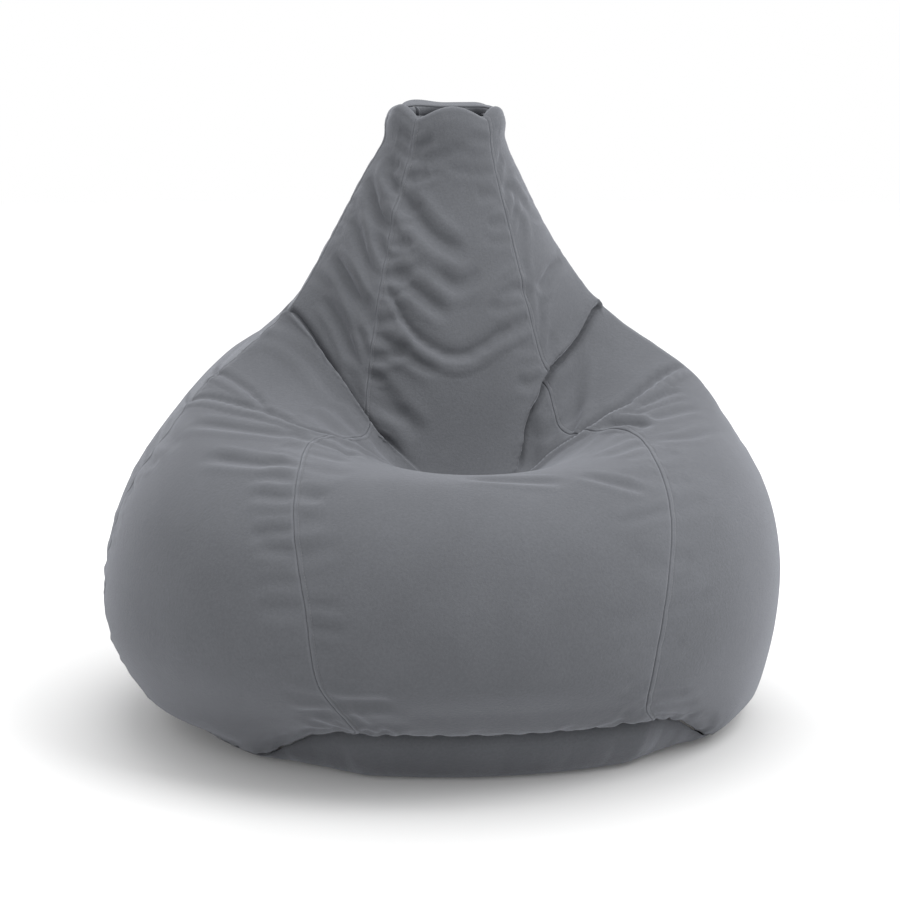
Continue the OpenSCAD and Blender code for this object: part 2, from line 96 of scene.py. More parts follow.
def bell(x):
    return np.exp(-x ** 2)


def wrapped(angle):
    return (angle + 180) % 360 - 180


def unit(v):
    return v / np.maximum(np.linalg.norm(v, axis=-1, keepdims=True), 1e-12)


def lengths_along(points, axis=0):
    """Distance of each point from the first one, measured along an axis of the grid."""
    steps = np.linalg.norm(np.diff(points, axis=axis), axis=-1)
    return np.insert(np.cumsum(steps, axis=axis), 0, 0, axis=axis)


def spline(table, t, axis=0):
    """Catmull-Rom value of a table at fractional index t."""
    table = np.moveaxis(np.asarray(table, float), axis, 0)
    t = np.asarray(t, float)
    i = np.clip(np.floor(t).astype(int), 0, len(table) - 2)
    f = t - i
    a, b, c, d = (table[np.clip(i + k, 0, len(table) - 1)] for k in (-1, 0, 1, 2))
    if table.ndim > 1:
        f = f.reshape(f.shape + (1,) * (table.ndim - 1))
    return b + 0.5 * f * (c - a + f * (2 * a - 5 * b + 4 * c - d + f * (3 * (b - c) + d - a)))


def skin(angle, t):
    """Outer face of the cover at an angle (0 is the front, +90 the sitter's left) and knot t."""
    angle, t = np.broadcast_arrays(np.asarray(angle, float), np.asarray(t, float))
    angle = wrapped(angle)
    wide = abs(angle)
    side, rear, front = (spline(table, t) for table in (SIDE, REAR, FRONT))
    yc, dip, hexed, lean, drift = (spline(table, t) for table in (CENTRE, DIP, HEX, LEAN, DRIFT))
    off_middle = np.where(wide % 60 > 30, 60 - wide % 60, wide % 60)
    bulge = 1 + (np.cos(np.radians(30)) / np.cos(np.radians(off_middle)) - 1) * hexed
    drifting = np.clip(np.minimum(wide / 30, (90 - wide) / 60), 0, 1)
    turned = np.radians(angle + np.sign(angle) * drift * drifting)
    ahead = np.cos(turned)
    behind = ahead < 0
    w = smooth((wide - 90) / 60)
    r = side[..., 0] + np.where(behind, (rear[..., 0] - yc - side[..., 0]) * w, 0)
    dipped = np.clip(ahead, 0, 1)
    y = np.where(behind, yc - r * ahead * bulge, yc + (front[..., 0] - yc) * dipped ** dip * bulge)
    low = 1 - smooth(t / 3)
    share = smooth((dipped - 0.55) / 0.33) * low + dipped ** np.maximum(1.6, 1.25 * dip) * (1 - low)
    side_z, rear_z, front_z = side[..., 1], rear[..., 1], front[..., 1]
    z = side_z + np.where(behind, (rear_z - side_z) * w, (front_z - side_z) * share)
    leaning = lean * np.maximum(smooth((t - ARC_TO) / 1.5), 1 - smooth((wide - 90) / 50))
    return np.stack([leaning + r * np.sin(turned) * bulge, y, z], -1)


# ---- The grid: columns run up the panels, with every PANEL_COLS-th one on a seam, and rows are rings
PANEL_COLS = 100
COLS = 6 * PANEL_COLS
ROWS = 320
# the rings are closer together around this knot, where the creases are
DENSE_AT, DENSE_OVER, DENSE_BY = 9.6, 0.9, 1.3
angles = (30 + 360 * np.arange(COLS) / COLS) % 360 - 180


def ring_knots():
    """The knot of each ring."""
    fine = np.linspace(0, LAST_KNOT, 1401)
    around = [0, 45, -45, 100, -100, 180]
    step = np.linalg.norm(np.diff(skin(around, fine[:, None]), axis=0), axis=-1).mean(axis=1)
    step *= 1 + DENSE_BY * bell((fine[1:] - DENSE_AT) / DENSE_OVER)
    length = np.insert(np.cumsum(step), 0, 0)
    return np.interp(np.linspace(0, length[-1], ROWS), length, fine)


def ring_normals(grid):
    """Outward normals of a grid of rings, closed across."""
    across = np.roll(grid, -1, 1) - np.roll(grid, 1, 1)
    return unit(np.cross(across, np.gradient(grid, axis=0)))


knots = ring_knots()
base_shape = skin(angles[None, :], knots[:, None])


# radius of the roll at the neck's top edge
TOP_ROLL = 9 * MM


def crown(grid):
    """The neck's top edge: each panel arches up and out between its seams, less so behind."""
    behind = smooth((abs(angles) - 60) / 60)
    arch = (0.5 + 0.5 * np.cos(np.radians(6 * angles))) ** 0.6
    low_lobe = 3.5 * bell((angles - 60) / 20)
    arch = arch * (17 - low_lobe - 11 * behind) * MM + 5 * MM * behind
    rise = smooth((knots - 12.8) / 1.2)[:, None]
    swell = bell((knots - 13.75) / 0.42)[:, None]
    out = (grid - NECK_CENTRE) * [1, 1, 0]
    grid = grid + unit(out) * (swell * (1.5 * MM + 0.35 * arch))[..., None]
    grid[..., 2] += rise * (arch - TOP_ROLL)
    return grid


def round_ridges(grid):
    """Rounds the ridge where the arms' tops meet the back, along the side seams."""
    ridge = bell((abs(angles) - 90) / 14)[None, :] * bell((knots - 8.3) / 1.6)[:, None]
    for _ in range(160):
        bend = np.roll(grid, 1, 1) + np.roll(grid, -1, 1) - 2 * grid
        grid = grid + (0.25 * ridge)[..., None] * bend
    return grid


base_shape = crown(round_ridges(base_shape))

# ---- Folds pressed into the skin: a line of (angle, knot), then depth and half width in mm, and the share
# of the depth that its lips rise
FOLDS = [
    # beside the creases, on the inner sides of the arms
    ([(-112, 8.3), (-63, 8.9), (-52, 9.0), (-44, 8.9), (-34, 8.7)], 1.6, 9, 0.5),
    ([(-100, 8.5), (-62, 8.9), (-44, 8.85), (-33, 8.75), (-26, 8.8)], -7, 24, 0),
    ([(50, 9.7), (40, 9.2), (33, 8.7), (28, 8.5)], 3.5, 9, 0.4),
    ([(22, 9.6), (26, 9.3), (31, 9.1), (40, 8.8)], 2.5, 8, 0.4),
    ([(23.5, 9.95), (21.5, 9.65), (19.5, 9.3), (17.5, 9.0)], 9, 14, 0),
    # across the backrest
    ([(-28, 12.4), (-25, 12.28), (-18, 12.15), (-9, 12.0), (0, 11.9), (7, 11.85)], 7.5, 11, 0.45),
    ([(-27, 11.48), (-18, 11.45), (-9, 11.38), (-2, 11.3)], 6, 9, 0.45),
    ([(-9, 11.68), (2, 11.56), (12, 11.64)], 5, 9, 0.5),
    ([(-31, 10.78), (-17, 10.83), (-6, 10.8)], 4, 8, 0.5),
    ([(-31, 10.3), (-22, 10.22), (-12, 10.1)], 4, 10, 0.4),
    ([(-28, 13.15), (-15, 13.5)], 4.5, 6, 0.4),
    ([(-28, 12.6), (-16, 12.95)], 4.5, 6, 0.4),
    ([(14, 12.5), (28, 12.3)], 2.5, 7, 0.4),
    ([(12, 11.2), (24, 11.3), (34, 11.0)], 3, 9, 0.4),
    # left flank of the neck
    ([(-76, 12.05), (-60, 11.95), (-49, 11.85), (-38, 11.8), (-28, 11.72)], 7, 9, 0.45),
    ([(-56, 12.85), (-46, 12.45), (-31, 12.3)], 6, 9, 0.4),
    ([(-42, 11.62), (-28, 11.5)], 4.5, 7, 0.4),
    ([(-72, 11.45), (-52, 11.38), (-33, 11.2)], 5, 8, 0.45),
    ([(-74, 10.9), (-60, 10.92), (-46, 10.9), (-34, 10.82)], 7.5, 9, 0.45),
    ([(-64, 10.4), (-48, 10.4), (-34, 10.2)], 5, 8, 0.4),
    # right flank of the neck
    ([(76, 10.75), (60, 10.9), (49, 10.95), (41, 11.0)], 5.5, 8, 0.4),
    ([(34, 12.3), (50, 12.1), (64, 11.6)], 3, 9, 0.4),
    # around the lens-shaped fold on the right arm
    ([(31.5, 7.75), (34, 7.3), (35.5, 6.9)], 6, 9, 0.5),
    ([(36, 7.1), (46, 6.85), (60, 6.6)], 3, 8, 0.5),
    ([(34, 6.5), (46, 6.25), (62, 6.1)], 2.5, 7, 0.5),
    # on top of the left arm
    ([(-34, 6.9), (-50, 6.6), (-72, 6.3)], 3.5, 9, 0.5),
    ([(-33, 6.1), (-44, 6.0), (-58, 5.9)], 5, 10, 0.4),
    ([(-27, 7.5), (-24, 7.1), (-22, 6.7)], 2.5, 7, 0.5),
    ([(-24, 7.7), (-20, 7.3), (-17, 6.9)], 2, 7, 0.5),
    # dimples on the front crest
    ([(-4, 6.3), (4, 6.1), (12, 5.9)], 3.5, 9, 0.5),
    ([(14, 6.1), (21, 5.7), (26, 5.5)], 3.5, 8, 0.4),
    # behind, where the neck has slumped
    ([(-175, 8.7), (-150, 8.5), (-128, 8.2)], 5, 12, 0.4),
    ([(176, 9.7), (150, 9.5), (128, 9.3)], 5, 12, 0.4),
    ([(-168, 7.3), (-140, 7.4), (-118, 7.6)], 4, 12, 0.4),
    ([(160, 7.4), (140, 7.6), (112, 7.4)], 4, 12, 0.4),
    ([(-172, 10.9), (-150, 10.6), (-120, 10.4)], 4, 11, 0.4),
    ([(170, 11.6), (145, 11.4), (118, 11.0)], 3.5, 10, 0.4),
]

# Tucks: sharp folds where one side stands up and hangs over the other. Each is a line of rising angle, the
# side that stands up (1 above the line, -1 below it), then drop, rise, their widths and the overhang in mm
TUCKS = [
    # between the left arm and the neck
    ([(-108, 9.3), (-85, 9.6), (-62, 9.65), (-52, 9.6), (-44, 9.55), (-37, 9.48), (-32, 9.38), (-27, 9.32),
      (-21, 9.45), (-12, 9.35)], -1, 8.5, 6, 8.5, 12, 3),
    # between the neck and the right arm
    ([(14, 9.2), (16, 9.45), (18, 9.75), (20, 10.0), (24, 10.12), (31, 10.2), (38, 10.15), (52, 9.95),
      (70, 9.85), (84, 9.72), (92, 9.6)], 1, 12, 5, 9, 12, 4),
    # the inner edge of the right arm
    ([(9, 9.2), (18, 8.9), (24, 8.6), (29, 8.15), (35, 7.9), (40, 7.65), (47, 7.55), (58, 7.45), (71, 7.35),
      (84, 7.3)], -1, 9, 4.5, 10, 11, 4.5),
    ([(40, 7.45), (47, 7.25), (60, 7.0)], -1, 5, 2, 8, 8, 2.5),
    # the inner edge of the left arm, and the fold that runs into it
    ([(-112, 6.1), (-80, 6.7), (-55, 7.0), (-46, 7.15), (-36, 7.25), (-31, 7.5), (-28, 7.8), (-24, 7.9),
      (-20, 8.25), (-17, 8.6)], -1, 6, 3.5, 8, 11, 2.5),
    ([(-102, 7.25), (-80, 7.35), (-64, 7.35), (-55, 7.3), (-45, 7.13)], -1, 5, 3, 7.5, 9, 2.5),
    # the fold that sags across the backrest
    ([(-29, 11.3), (-22, 11.1), (-15, 10.98), (-6, 10.92), (1, 10.9), (8, 10.93), (18, 10.95), (29, 10.8)],
     -1, 8, 4.5, 17, 12, 3),
]
# width over which a tuck goes from its low side to its high side
TUCK_EDGE = 3.4 * MM


def seam_distance():
    """Distance along its ring from each grid point to the nearest seam."""
    step = np.linalg.norm(np.roll(base_shape, -1, 1) - base_shape, axis=-1)
    out = np.full(step.shape, 9.0)
    for k in range(6):
        for sign in (1, -1):
            lengths = step if sign > 0 else np.roll(step, 1, 1)
            order = (k * PANEL_COLS + sign * np.arange(PANEL_COLS)) % COLS
            run = np.insert(np.cumsum(lengths[:, order[:-1]], axis=1), 0, 0, axis=1)
            out[:, order] = np.minimum(out[:, order], run)
    return out


def beside_line(surface, line, reach):
    """The points within reach of a line of (angle, knot), as a mask.

    Also gives their offsets from the line, its directions there, and their shares of the way along it.
    """
    along = np.linspace(0, len(line) - 1, 8 * (len(line) - 1) + 1)
    path = skin(*np.moveaxis(spline(np.array(line, float), along), -1, 0))
    near = ((surface > path.min(axis=0) - reach) & (surface < path.max(axis=0) + reach)).all(axis=-1)
    points = surface[near]
    a, run = path[:-1], np.diff(path, axis=0)
    f = np.clip(((points[:, None] - a) * run).sum(-1) / (run * run).sum(-1), 0, 1)
    offset = points[:, None] - a - f[..., None] * run
    best = np.linalg.norm(offset, axis=-1).argmin(axis=1)
    rows = np.arange(len(points))
    return near, offset[rows, best], unit(run)[best], (best + f[rows, best]) / len(run)


def fold_height(surface, line, depth, width, lip):
    """Height that a fold adds to each point of surface: down along its line and up on both lips."""
    near, offset, _, u = beside_line(surface, line, 4 * width)
    d = np.linalg.norm(offset, axis=-1) / width
    taper = smooth(np.minimum(u, 1 - u) / 0.35 + 0.12)
    height = np.zeros(surface.shape[:-1])
    height[near] = depth * taper * (lip * bell((d - 1.9) / 0.85) - bell(d))
    return height


def press(surface, folds, share=1.0):
    """Presses folds into a surface, along its normals."""
    height = sum(fold_height(surface, line, depth * MM, width * MM, lip)
                 for line, depth, width, lip in folds)
    return surface + ring_normals(surface) * (height * share)[..., None]


def tuck(surface, line, side, drop, rise, low_width, high_width, overhang):
    """Lifts one side of a line, drops the other, and slides the lifted cloth over the line."""
    near, offset, run, u = beside_line(surface, line, 3 * low_width)
    normals = ring_normals(surface)[near]
    across = unit(np.cross(normals, run)) * side
    s = (offset * across).sum(-1)
    past_end = (offset * run).sum(-1)
    share = smooth(np.minimum(u, 1 - u) / 0.22 + 0.1) * bell(past_end / high_width)
    up = smooth(s / TUCK_EDGE + 0.5)
    height = up * rise * bell(s / high_width) - (1 - up) * drop * bell(s / low_width)
    slide = up * overhang * bell(s / high_width)
    surface = surface.copy()
    surface[near] += normals * (height * share)[:, None] - across * (slide * share)[:, None]
    return surface


# ---- Puckers: short folds that run off a seam, where the stitching has gathered the cloth
draw = np.random.default_rng(7)
# seam angle: depth in mm, on the belly and on the neck
PUCKER_DEPTH = {-150: (1.1, 1.8), -90: (2.6, 4.0), -30: (3.1, 3.8), 30: (1.8, 2.4), 90: (1.8, 4.0),
                150: (1.8, 2.0)}
# least and most, in mm
PUCKER_REACH, PUCKER_WIDTH, PUCKER_SPACING = (35, 90), (7, 12), (24, 64)


def seam_puckers(seam, belly_depth, neck_depth):
    """Puckers on both sides of one seam: longer and wider on the belly, closer together on the neck."""
    fine = np.linspace(0.4, 13.7, 900)
    length = lengths_along(skin(seam, fine))
    # metres to one degree
    degree = np.linalg.norm(skin(seam + 1, fine) - skin(seam - 1, fine), axis=1) / 2
    folds = []
    for side in (-1, 1):
        place = draw.uniform(0, 0.03)
        while place < length[-1]:
            k = min(int(np.searchsorted(length, place)), len(fine) - 1)
            t = fine[k]
            neck = smooth((t - 9.3) / 1.2)
            reach = draw.uniform(*PUCKER_REACH) * MM * (1 - 0.2 * neck)
            depth = (belly_depth + (neck_depth - belly_depth) * neck) * draw.uniform(0.45, 1.25)
            if ARC_FROM < t < ARC_TO and seam == ZIP_SEAM:
                depth *= 0.3
            if abs(seam) == 90:
                depth *= 1 - 0.75 * smooth((t - 5.5) / 1.2)
            span = side * reach / degree[k]
            slope = draw.normal(0, 0.12) + 0.45 * neck
            rise = slope * reach * len(fine) / length[-1] * (fine[1] - fine[0])
            line = [(seam - 0.12 * span, t - 0.12 * rise), (seam + 0.5 * span, t + 0.45 * rise),
                    (seam + span, t + rise + draw.normal(0, 0.03))]
            folds.append((line, depth, draw.uniform(*PUCKER_WIDTH) - 3.5 * neck, draw.uniform(0.35, 0.6)))
            place += draw.uniform(*PUCKER_SPACING) * (1 - 0.25 * neck) * MM
    return folds


def base_puckers():
    """Puckers that run up from the base seam, deeper and longer at its six corners."""
    folds = []
    angle = -180.0
    while angle < 180:
        past_corner = (angle + 30) % 60
        corner = bell(past_corner / 8) + bell((past_corner - 60) / 8)
        top = draw.uniform(0.6, 1.5) + 1.4 * corner
        depth = draw.uniform(0.7, 1.9) + 1.6 * corner
        line = [(angle, -0.2), (angle + draw.normal(0, 1), 0.5 * top), (angle + draw.normal(0, 3), top)]
        folds.append((line, depth, draw.uniform(5.5, 8), 0.45))
        angle += draw.uniform(3.5, 7.5)
    return folds


puckers = [fold for seam, depths in PUCKER_DEPTH.items() for fold in seam_puckers(seam, *depths)]
puckers += base_puckers()


def smoothed(grid, rounds, share=0.25):
    """Evens out a grid of rings, around and up it."""
    for _ in range(rounds):
        grid = grid + share * (np.roll(grid, 1, 1) + np.roll(grid, -1, 1) - 2 * grid)
        grid[1:-1] += share * (grid[2:] + grid[:-2] - 2 * grid[1:-1])
    return grid


target = press(base_shape, FOLDS)
for line, side, *sizes in TUCKS:
    target = tuck(target, line, side, *(size * MM for size in sizes))
target = smoothed(target, 1)
off_seam = seam_distance()
gathered = press(target, puckers, 1 - 0.75 * np.exp(-off_seam / (8 * MM)))


# ---- Cloth relaxation: the cloth keeps its lengths, has surplus beside the seams, and the filling holds it
# surplus cloth as a share of its length: everywhere, beside the seams, along the base seam, and up and
# across on the neck
SURPLUS, SEAM_SURPLUS, BASE_SURPLUS = 0.005, 0.017, 0.022
NECK_SURPLUS = (0.004, 0.008)
# how strongly the cloth is drawn back each round: everywhere, at the seams and at the zip
HOLD, SEAM_HOLD, ZIP_HOLD = 0.03, 0.35, 0.6
# how far the cloth may move in and out
LIMITS = (-6 * MM, 11 * MM)
STEPS = 220


def shifted(grid, di, dj):
    """For each point (i, j), the point (i + di, j + dj)."""
    return np.roll(grid, -dj, 1)[di:] if di else np.roll(grid, -dj, 1)


def pull(cloth, di, dj, rest, strength, only_push=False):
    """Moves points (i, j) and (i + di, j + dj) towards their rest distance."""
    a = cloth[:ROWS - di] if di else cloth
    b = shifted(cloth, di, dj)
    gap = b - a
    length = np.linalg.norm(gap, axis=-1)
    error = length - rest
    if only_push:
        error = np.minimum(error, 0)
    move = gap * (0.5 * strength * error / np.maximum(length, 1e-9))[..., None]
    cloth[:ROWS - di] += move
    cloth[di:] -= np.roll(move, dj, 1)


def relax(start, hold_shape):
    """Lets the cloth buckle from start, drawn towards hold_shape."""
    beside = np.exp(-off_seam / (32 * MM))
    low_rows = np.exp(-np.arange(ROWS)[:, None] / 9)
    neck = smooth((knots - 9.8) / 1.5)[:, None]
    growth_up = 1 + SURPLUS + SEAM_SURPLUS * beside * (1 - 0.4 * neck) + NECK_SURPLUS[0] * neck
    growth_across = 1 + SURPLUS + BASE_SURPLUS * low_rows + NECK_SURPLUS[1] * neck
    normals = ring_normals(hold_shape)
    rests = {}
    for di, dj in ((0, 1), (1, 0), (1, 1), (1, -1)):
        a = hold_shape[:ROWS - di] if di else hold_shape
        gap = np.linalg.norm(shifted(hold_shape, di, dj) - a, axis=-1)
        grow = growth_across if di == 0 else growth_up if dj == 0 else (growth_up + growth_across) / 2
        rests[di, dj] = gap * grow[:ROWS - di]
    hold = np.full((ROWS, COLS, 1), HOLD)
    hold[:, ::PANEL_COLS] = SEAM_HOLD
    zip_rows = (knots > ARC_FROM - 0.2) & (knots < ARC_TO + 0.2)
    # column 0 is on the zip's seam
    hold[np.ix_(zip_rows, np.arange(-5, 6))] = ZIP_HOLD
    hold[[0, -1]] = 1
    cloth = start.copy()
    for _ in range(STEPS):
        for (di, dj), rest in rests.items():
            pull(cloth, di, dj, rest, 0.7 if di * dj == 0 else 0.3)
        pull(cloth, 0, 3, 2.97 * rests[0, 1], 0.25, only_push=True)
        pull(cloth, 3, 0, 2.97 * rests[1, 0][:ROWS - 3], 0.25, only_push=True)
        cloth += hold * (hold_shape - cloth)
        out = ((cloth - hold_shape) * normals).sum(-1, keepdims=True)
        cloth += normals * (np.clip(out, *LIMITS) - out)
    return cloth


cloth = relax(gathered, 0.2 * target + 0.8 * gathered)
cloth[..., 2] = np.maximum(cloth[..., 2], 3 * MM)
cloth_normals = ring_normals(cloth)


# ---- Meshes
def add_object(name, data):
    obj = bpy.data.objects.new(name, data)
    bpy.context.scene.collection.objects.link(obj)
    return obj


def make_object(name, points, faces, body="bag", slot="cover_cloth", nodes=()):
    """A visible piece on a body, in the place of its CAD nodes."""
    mesh = bpy.data.meshes.new(name + "_shown")
    mesh.from_pydata(np.asarray(points, float).reshape(-1, 3).tolist(), [], faces)
    mesh.validate()
    mesh.polygons.foreach_set("use_smooth", [True] * len(mesh.polygons))
    obj = add_object(name + "_shown", mesh)
    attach(obj, body)
    if nodes:
        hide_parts(*nodes)
    obj.data.materials.append(material(slot))
    return obj


def quads(rows, cols, start=0, closed=False, flip=False):
    """Faces between the points of a grid, the first of which is number start."""
    i, j = np.meshgrid(np.arange(rows - 1), np.arange(cols if closed else cols - 1), indexing="ij")
    right = (j + 1) % cols
    corners = [i * cols + j, i * cols + right, (i + 1) * cols + right, (i + 1) * cols + j]
    face = np.stack(corners, -1) + start
    return (face[..., ::-1] if flip else face).reshape(-1, 4)


def sheet_faces(rows, cols):
    """Closed solid between an outer and an inner grid of the same size."""
    n = rows * cols
    rim = np.concatenate([np.arange(cols), np.arange(1, rows) * cols + cols - 1,
                          (rows - 1) * cols + np.arange(cols - 2, -1, -1),
                          np.arange(rows - 2, 0, -1) * cols])
    following = np.roll(rim, -1)
    sides = np.stack([following, rim, rim + n, following + n], -1)
    return np.concatenate([quads(rows, cols), quads(rows, cols, n, flip=True), sides]).tolist()


def grid_normals(grid):
    return unit(np.cross(np.gradient(grid, axis=1), np.gradient(grid, axis=0)))


# ---- Materials
class Nodes:
    """A material's node tree, with short ways to add a node and link it."""

    def __init__(self, name):
        self.material = bpy.data.materials.new(name)
        self.material.use_nodes = True
        self.tree = self.material.node_tree
        self.shader = self.tree.nodes["Principled BSDF"]
        self.position = self.add("ShaderNodeTexCoord").outputs["Object"]

    def add(self, kind, inputs=(), **settings):
        node = self.tree.nodes.new(kind)
        for key, value in settings.items():
            setattr(node, key, value)
        for key, value in dict(inputs).items():
            self.put(node.inputs[key], value)
        return node

    def put(self, socket, value):
        if isinstance(value, bpy.types.NodeSocket):
            self.tree.links.new(value, socket)
        else:
            socket.default_value = value

    def surface(self, inputs):
        """Sets or links sockets of the shader itself."""
        for key, value in inputs.items():
            self.put(self.shader.inputs[key], value)

    def noise(self, scale, detail=3.0, roughness=0.55, vector=None):
        inputs = {"Vector": vector or self.position, "Scale": scale, "Detail": detail,
                  "Roughness": roughness}
        return self.add("ShaderNodeTexNoise", inputs).outputs["Fac"]

    def ramp(self, factor, stops):
        node = self.add("ShaderNodeValToRGB", {"Fac": factor})
        ramp = node.color_ramp
        for k, (place, colour) in enumerate(stops):
            stop = ramp.elements[k] if k < 2 else ramp.elements.new(place)
            stop.position = place
            stop.color = (*colour, 1)
        return node.outputs["Color"]

    def mix(self, factor, a, b, blend="MIX"):
        node = self.add("ShaderNodeMix", data_type="RGBA", blend_type=blend)
        for socket, value in zip((node.inputs[0], node.inputs[6], node.inputs[7]), (factor, a, b)):
            self.put(socket, value if isinstance(value, (bpy.types.NodeSocket, float)) else (*value, 1))
        return node.outputs[2]

    def maths(self, operation, a, b=0.0):
        node = self.add("ShaderNodeMath", operation=operation)
        self.put(node.inputs[0], a)
        self.put(node.inputs[1], b)
        return node.outputs[0]

    def bump(self, height, distance, strength=1.0, normal=None):
        inputs = {"Height": height, "Distance": distance, "Strength": strength}
        if normal is not None:
            inputs["Normal"] = normal
        return self.add("ShaderNodeBump", inputs).outputs["Normal"]


BLACK, WHITE = (0, 0, 0), (1, 1, 1)


def shade(colour, k):
    return tuple(min(1.0, c * k) for c in colour)


def cloth_material(n, colour):
    """Brushed micro-suede: a fine short nap, brushed in patches, a little lighter where it is rubbed."""
    patches = n.noise(9, 4, 0.6)
    nap = n.noise(300, 4, 0.75)
    fibres = n.noise(1500, 2, 0.6)
    tone = n.ramp(patches, [(0.3, shade(colour, 0.93)), (0.7, shade(colour, 1.07))])
    raised = n.ramp(nap, [(0.35, BLACK), (0.7, WHITE)])
    tone = n.mix(raised, n.mix(0.30, tone, shade(colour, 0.5)), tone)
    worn = n.add("ShaderNodeAttribute", attribute_name="rub").outputs["Fac"]
    tone = n.mix(worn, tone, n.mix(0.35, tone, shade(colour, 1.45)))
    normal = n.bump(fibres, 0.0002, 0.4, n.bump(nap, 0.0010, 0.7))
    n.surface({"Base Color": tone, "Roughness": 0.93, "Specular IOR Level": 0.18, "Sheen Weight": 0.32,
               "Sheen Roughness": 0.45, "Sheen Tint": (0.88, 0.91, 1.0, 1), "Normal": normal})


def thread_material(n, colour):
    twist = n.add("ShaderNodeTexWave", {"Vector": n.position, "Scale": 900.0, "Distortion": 2.0})
    tone = n.ramp(twist.outputs["Fac"], [(0.2, shade(colour, 0.75)), (0.8, shade(colour, 1.25))])
    normal = n.bump(twist.outputs["Fac"], 0.0001, 0.6)
    n.surface({"Base Color": tone, "Roughness": 0.6, "Sheen Weight": 0.15, "Normal": normal})


def woven_material(n, colour, pitch=0.0006, roughness=0.8):
    threads = {"Vector": n.position, "Scale": 1 / pitch / 6.3}
    warp = n.add("ShaderNodeTexWave", threads, bands_direction="X")
    weft = n.add("ShaderNodeTexWave", threads, bands_direction="Z")
    weave = n.maths("MULTIPLY", warp.outputs["Fac"], weft.outputs["Fac"])
    uneven = n.noise(60, 3)
    tone = n.ramp(uneven, [(0.3, shade(colour, 0.9)), (0.7, shade(colour, 1.08))])
    tone = n.mix(weave, n.mix(0.25, tone, shade(colour, 0.5)), tone)
    normal = n.bump(weave, 0.0002, 0.7)
    n.surface({"Base Color": tone, "Roughness": roughness, "Specular IOR Level": 0.25, "Normal": normal})


def nylon_material(n, colour):
    tone = n.ramp(n.noise(300, 3), [(0.3, shade(colour, 0.85)), (0.7, shade(colour, 1.15))])
    rough = n.ramp(n.noise(120, 3), [(0.3, (0.32,) * 3), (0.7, (0.46,) * 3)])
    normal = n.bump(n.noise(900, 2), 0.00005, 0.4)
    n.surface({"Base Color": tone, "Roughness": rough, "Normal": normal})


def metal_material(n, colour):
    stretch = n.add("ShaderNodeMapping", {"Vector": n.position, "Scale": (40.0, 40.0, 900.0)})
    brushed = n.noise(6, 4, 0.6, vector=stretch.outputs["Vector"])
    tone = n.ramp(n.noise(90, 4), [(0.35, shade(colour, 0.78)), (0.65, shade(colour, 1.1))])
    rough = n.ramp(brushed, [(0.3, (0.26,) * 3), (0.7, (0.42,) * 3)])
    normal = n.bump(brushed, 0.00003, 0.5)
    n.surface({"Base Color": tone, "Metallic": 1.0, "Roughness": rough, "Normal": normal})


def ribbon_material(n, colour):
    woven_material(n, colour, pitch=0.0004, roughness=0.45)
    n.surface({"Sheen Weight": 0.2})


def liner_material(n, colour):
    """Nonwoven polypropylene: fine random fibres with a grid of small pressed dots."""
    fibres = n.noise(800, 4, 0.7)
    dots = n.add("ShaderNodeTexVoronoi", {"Vector": n.position, "Scale": 520.0, "Randomness": 0.0})
    pressed = n.ramp(dots.outputs["Distance"], [(0.2, BLACK), (0.4, WHITE)])
    tone = n.ramp(fibres, [(0.3, shade(colour, 0.9)), (0.7, shade(colour, 1.05))])
    tone = n.mix(pressed, n.mix(0.3, tone, shade(colour, 0.7)), tone)
    n.surface({"Base Color": tone, "Roughness": 0.75, "Normal": n.bump(pressed, 0.0002, 0.5)})


def bead_material(n, colour):
    """Packed foam beads, two to five millimetres across, with painted shade in the gaps between them."""
    cells = n.add("ShaderNodeTexVoronoi", {"Vector": n.position, "Scale": 260.0})
    height = n.ramp(cells.outputs["Distance"], [(0.0, WHITE), (0.75, BLACK)])
    # painted shade: the colour darkens towards each bead's rim and into the gaps between the beads
    tone = n.mix(height, shade(colour, 0.62), colour)
    normal = n.bump(height, 0.0015, 0.9)
    n.surface({"Base Color": tone, "Roughness": 0.65, "Subsurface Weight": 0.1, "Normal": normal})


RECIPES = {
    "cover_cloth": (cloth_material, (0.100, 0.104, 0.114)),
    "sewing_thread": (thread_material, (0.105, 0.109, 0.120)),
    "zip_tape": (woven_material, (0.090, 0.094, 0.105)),
    "zip_coil": (nylon_material, (0.075, 0.078, 0.088)),
    "zip_metal": (metal_material, (0.42, 0.42, 0.43)),
    "label_ribbon": (ribbon_material, (0.78, 0.77, 0.74)),
    "liner_cloth": (liner_material, (0.72, 0.71, 0.68)),
    "liner_tape": (woven_material, (0.70, 0.69, 0.66)),
    "liner_coil": (nylon_material, (0.68, 0.67, 0.64)),
    "bead_fill": (bead_material, (0.86, 0.86, 0.84)),
}
made_materials = {}


def material(slot):
    if slot not in made_materials:
        recipe, colour = RECIPES[slot]
        n = Nodes("look_" + slot)
        recipe(n, colour)
        made_materials[slot] = n.material
    return made_materials[slot]


# ---- Cover panels
CLOTH_T = 1.2 * MM
SEAM_GAP = 0.05 * MM
# how far the edges turn in at the seams
TURN_IN = 5 * MM
# half width of the opening over the zip
ZIP_SLOT = 8 * MM
# distance of the topstitching from its seam
STITCH_OFF = 6.2 * MM
EDGE_STEPS = np.array([0, 0.5, 1.0, 1.7, 2.6, 3.8, 5.0, 5.7, 6.2, 6.7, 7.6, 9.2, 12.0]) * MM
MIDDLE_COLS = 76


def zip_knot(angle):
    """Knot at an angle of the rear arc."""
    return ARC_FROM + (ARC_TO - ARC_FROM) * (angle - REAR_ANGLES[0]) / (REAR_ANGLES[1] - REAR_ANGLES[0])


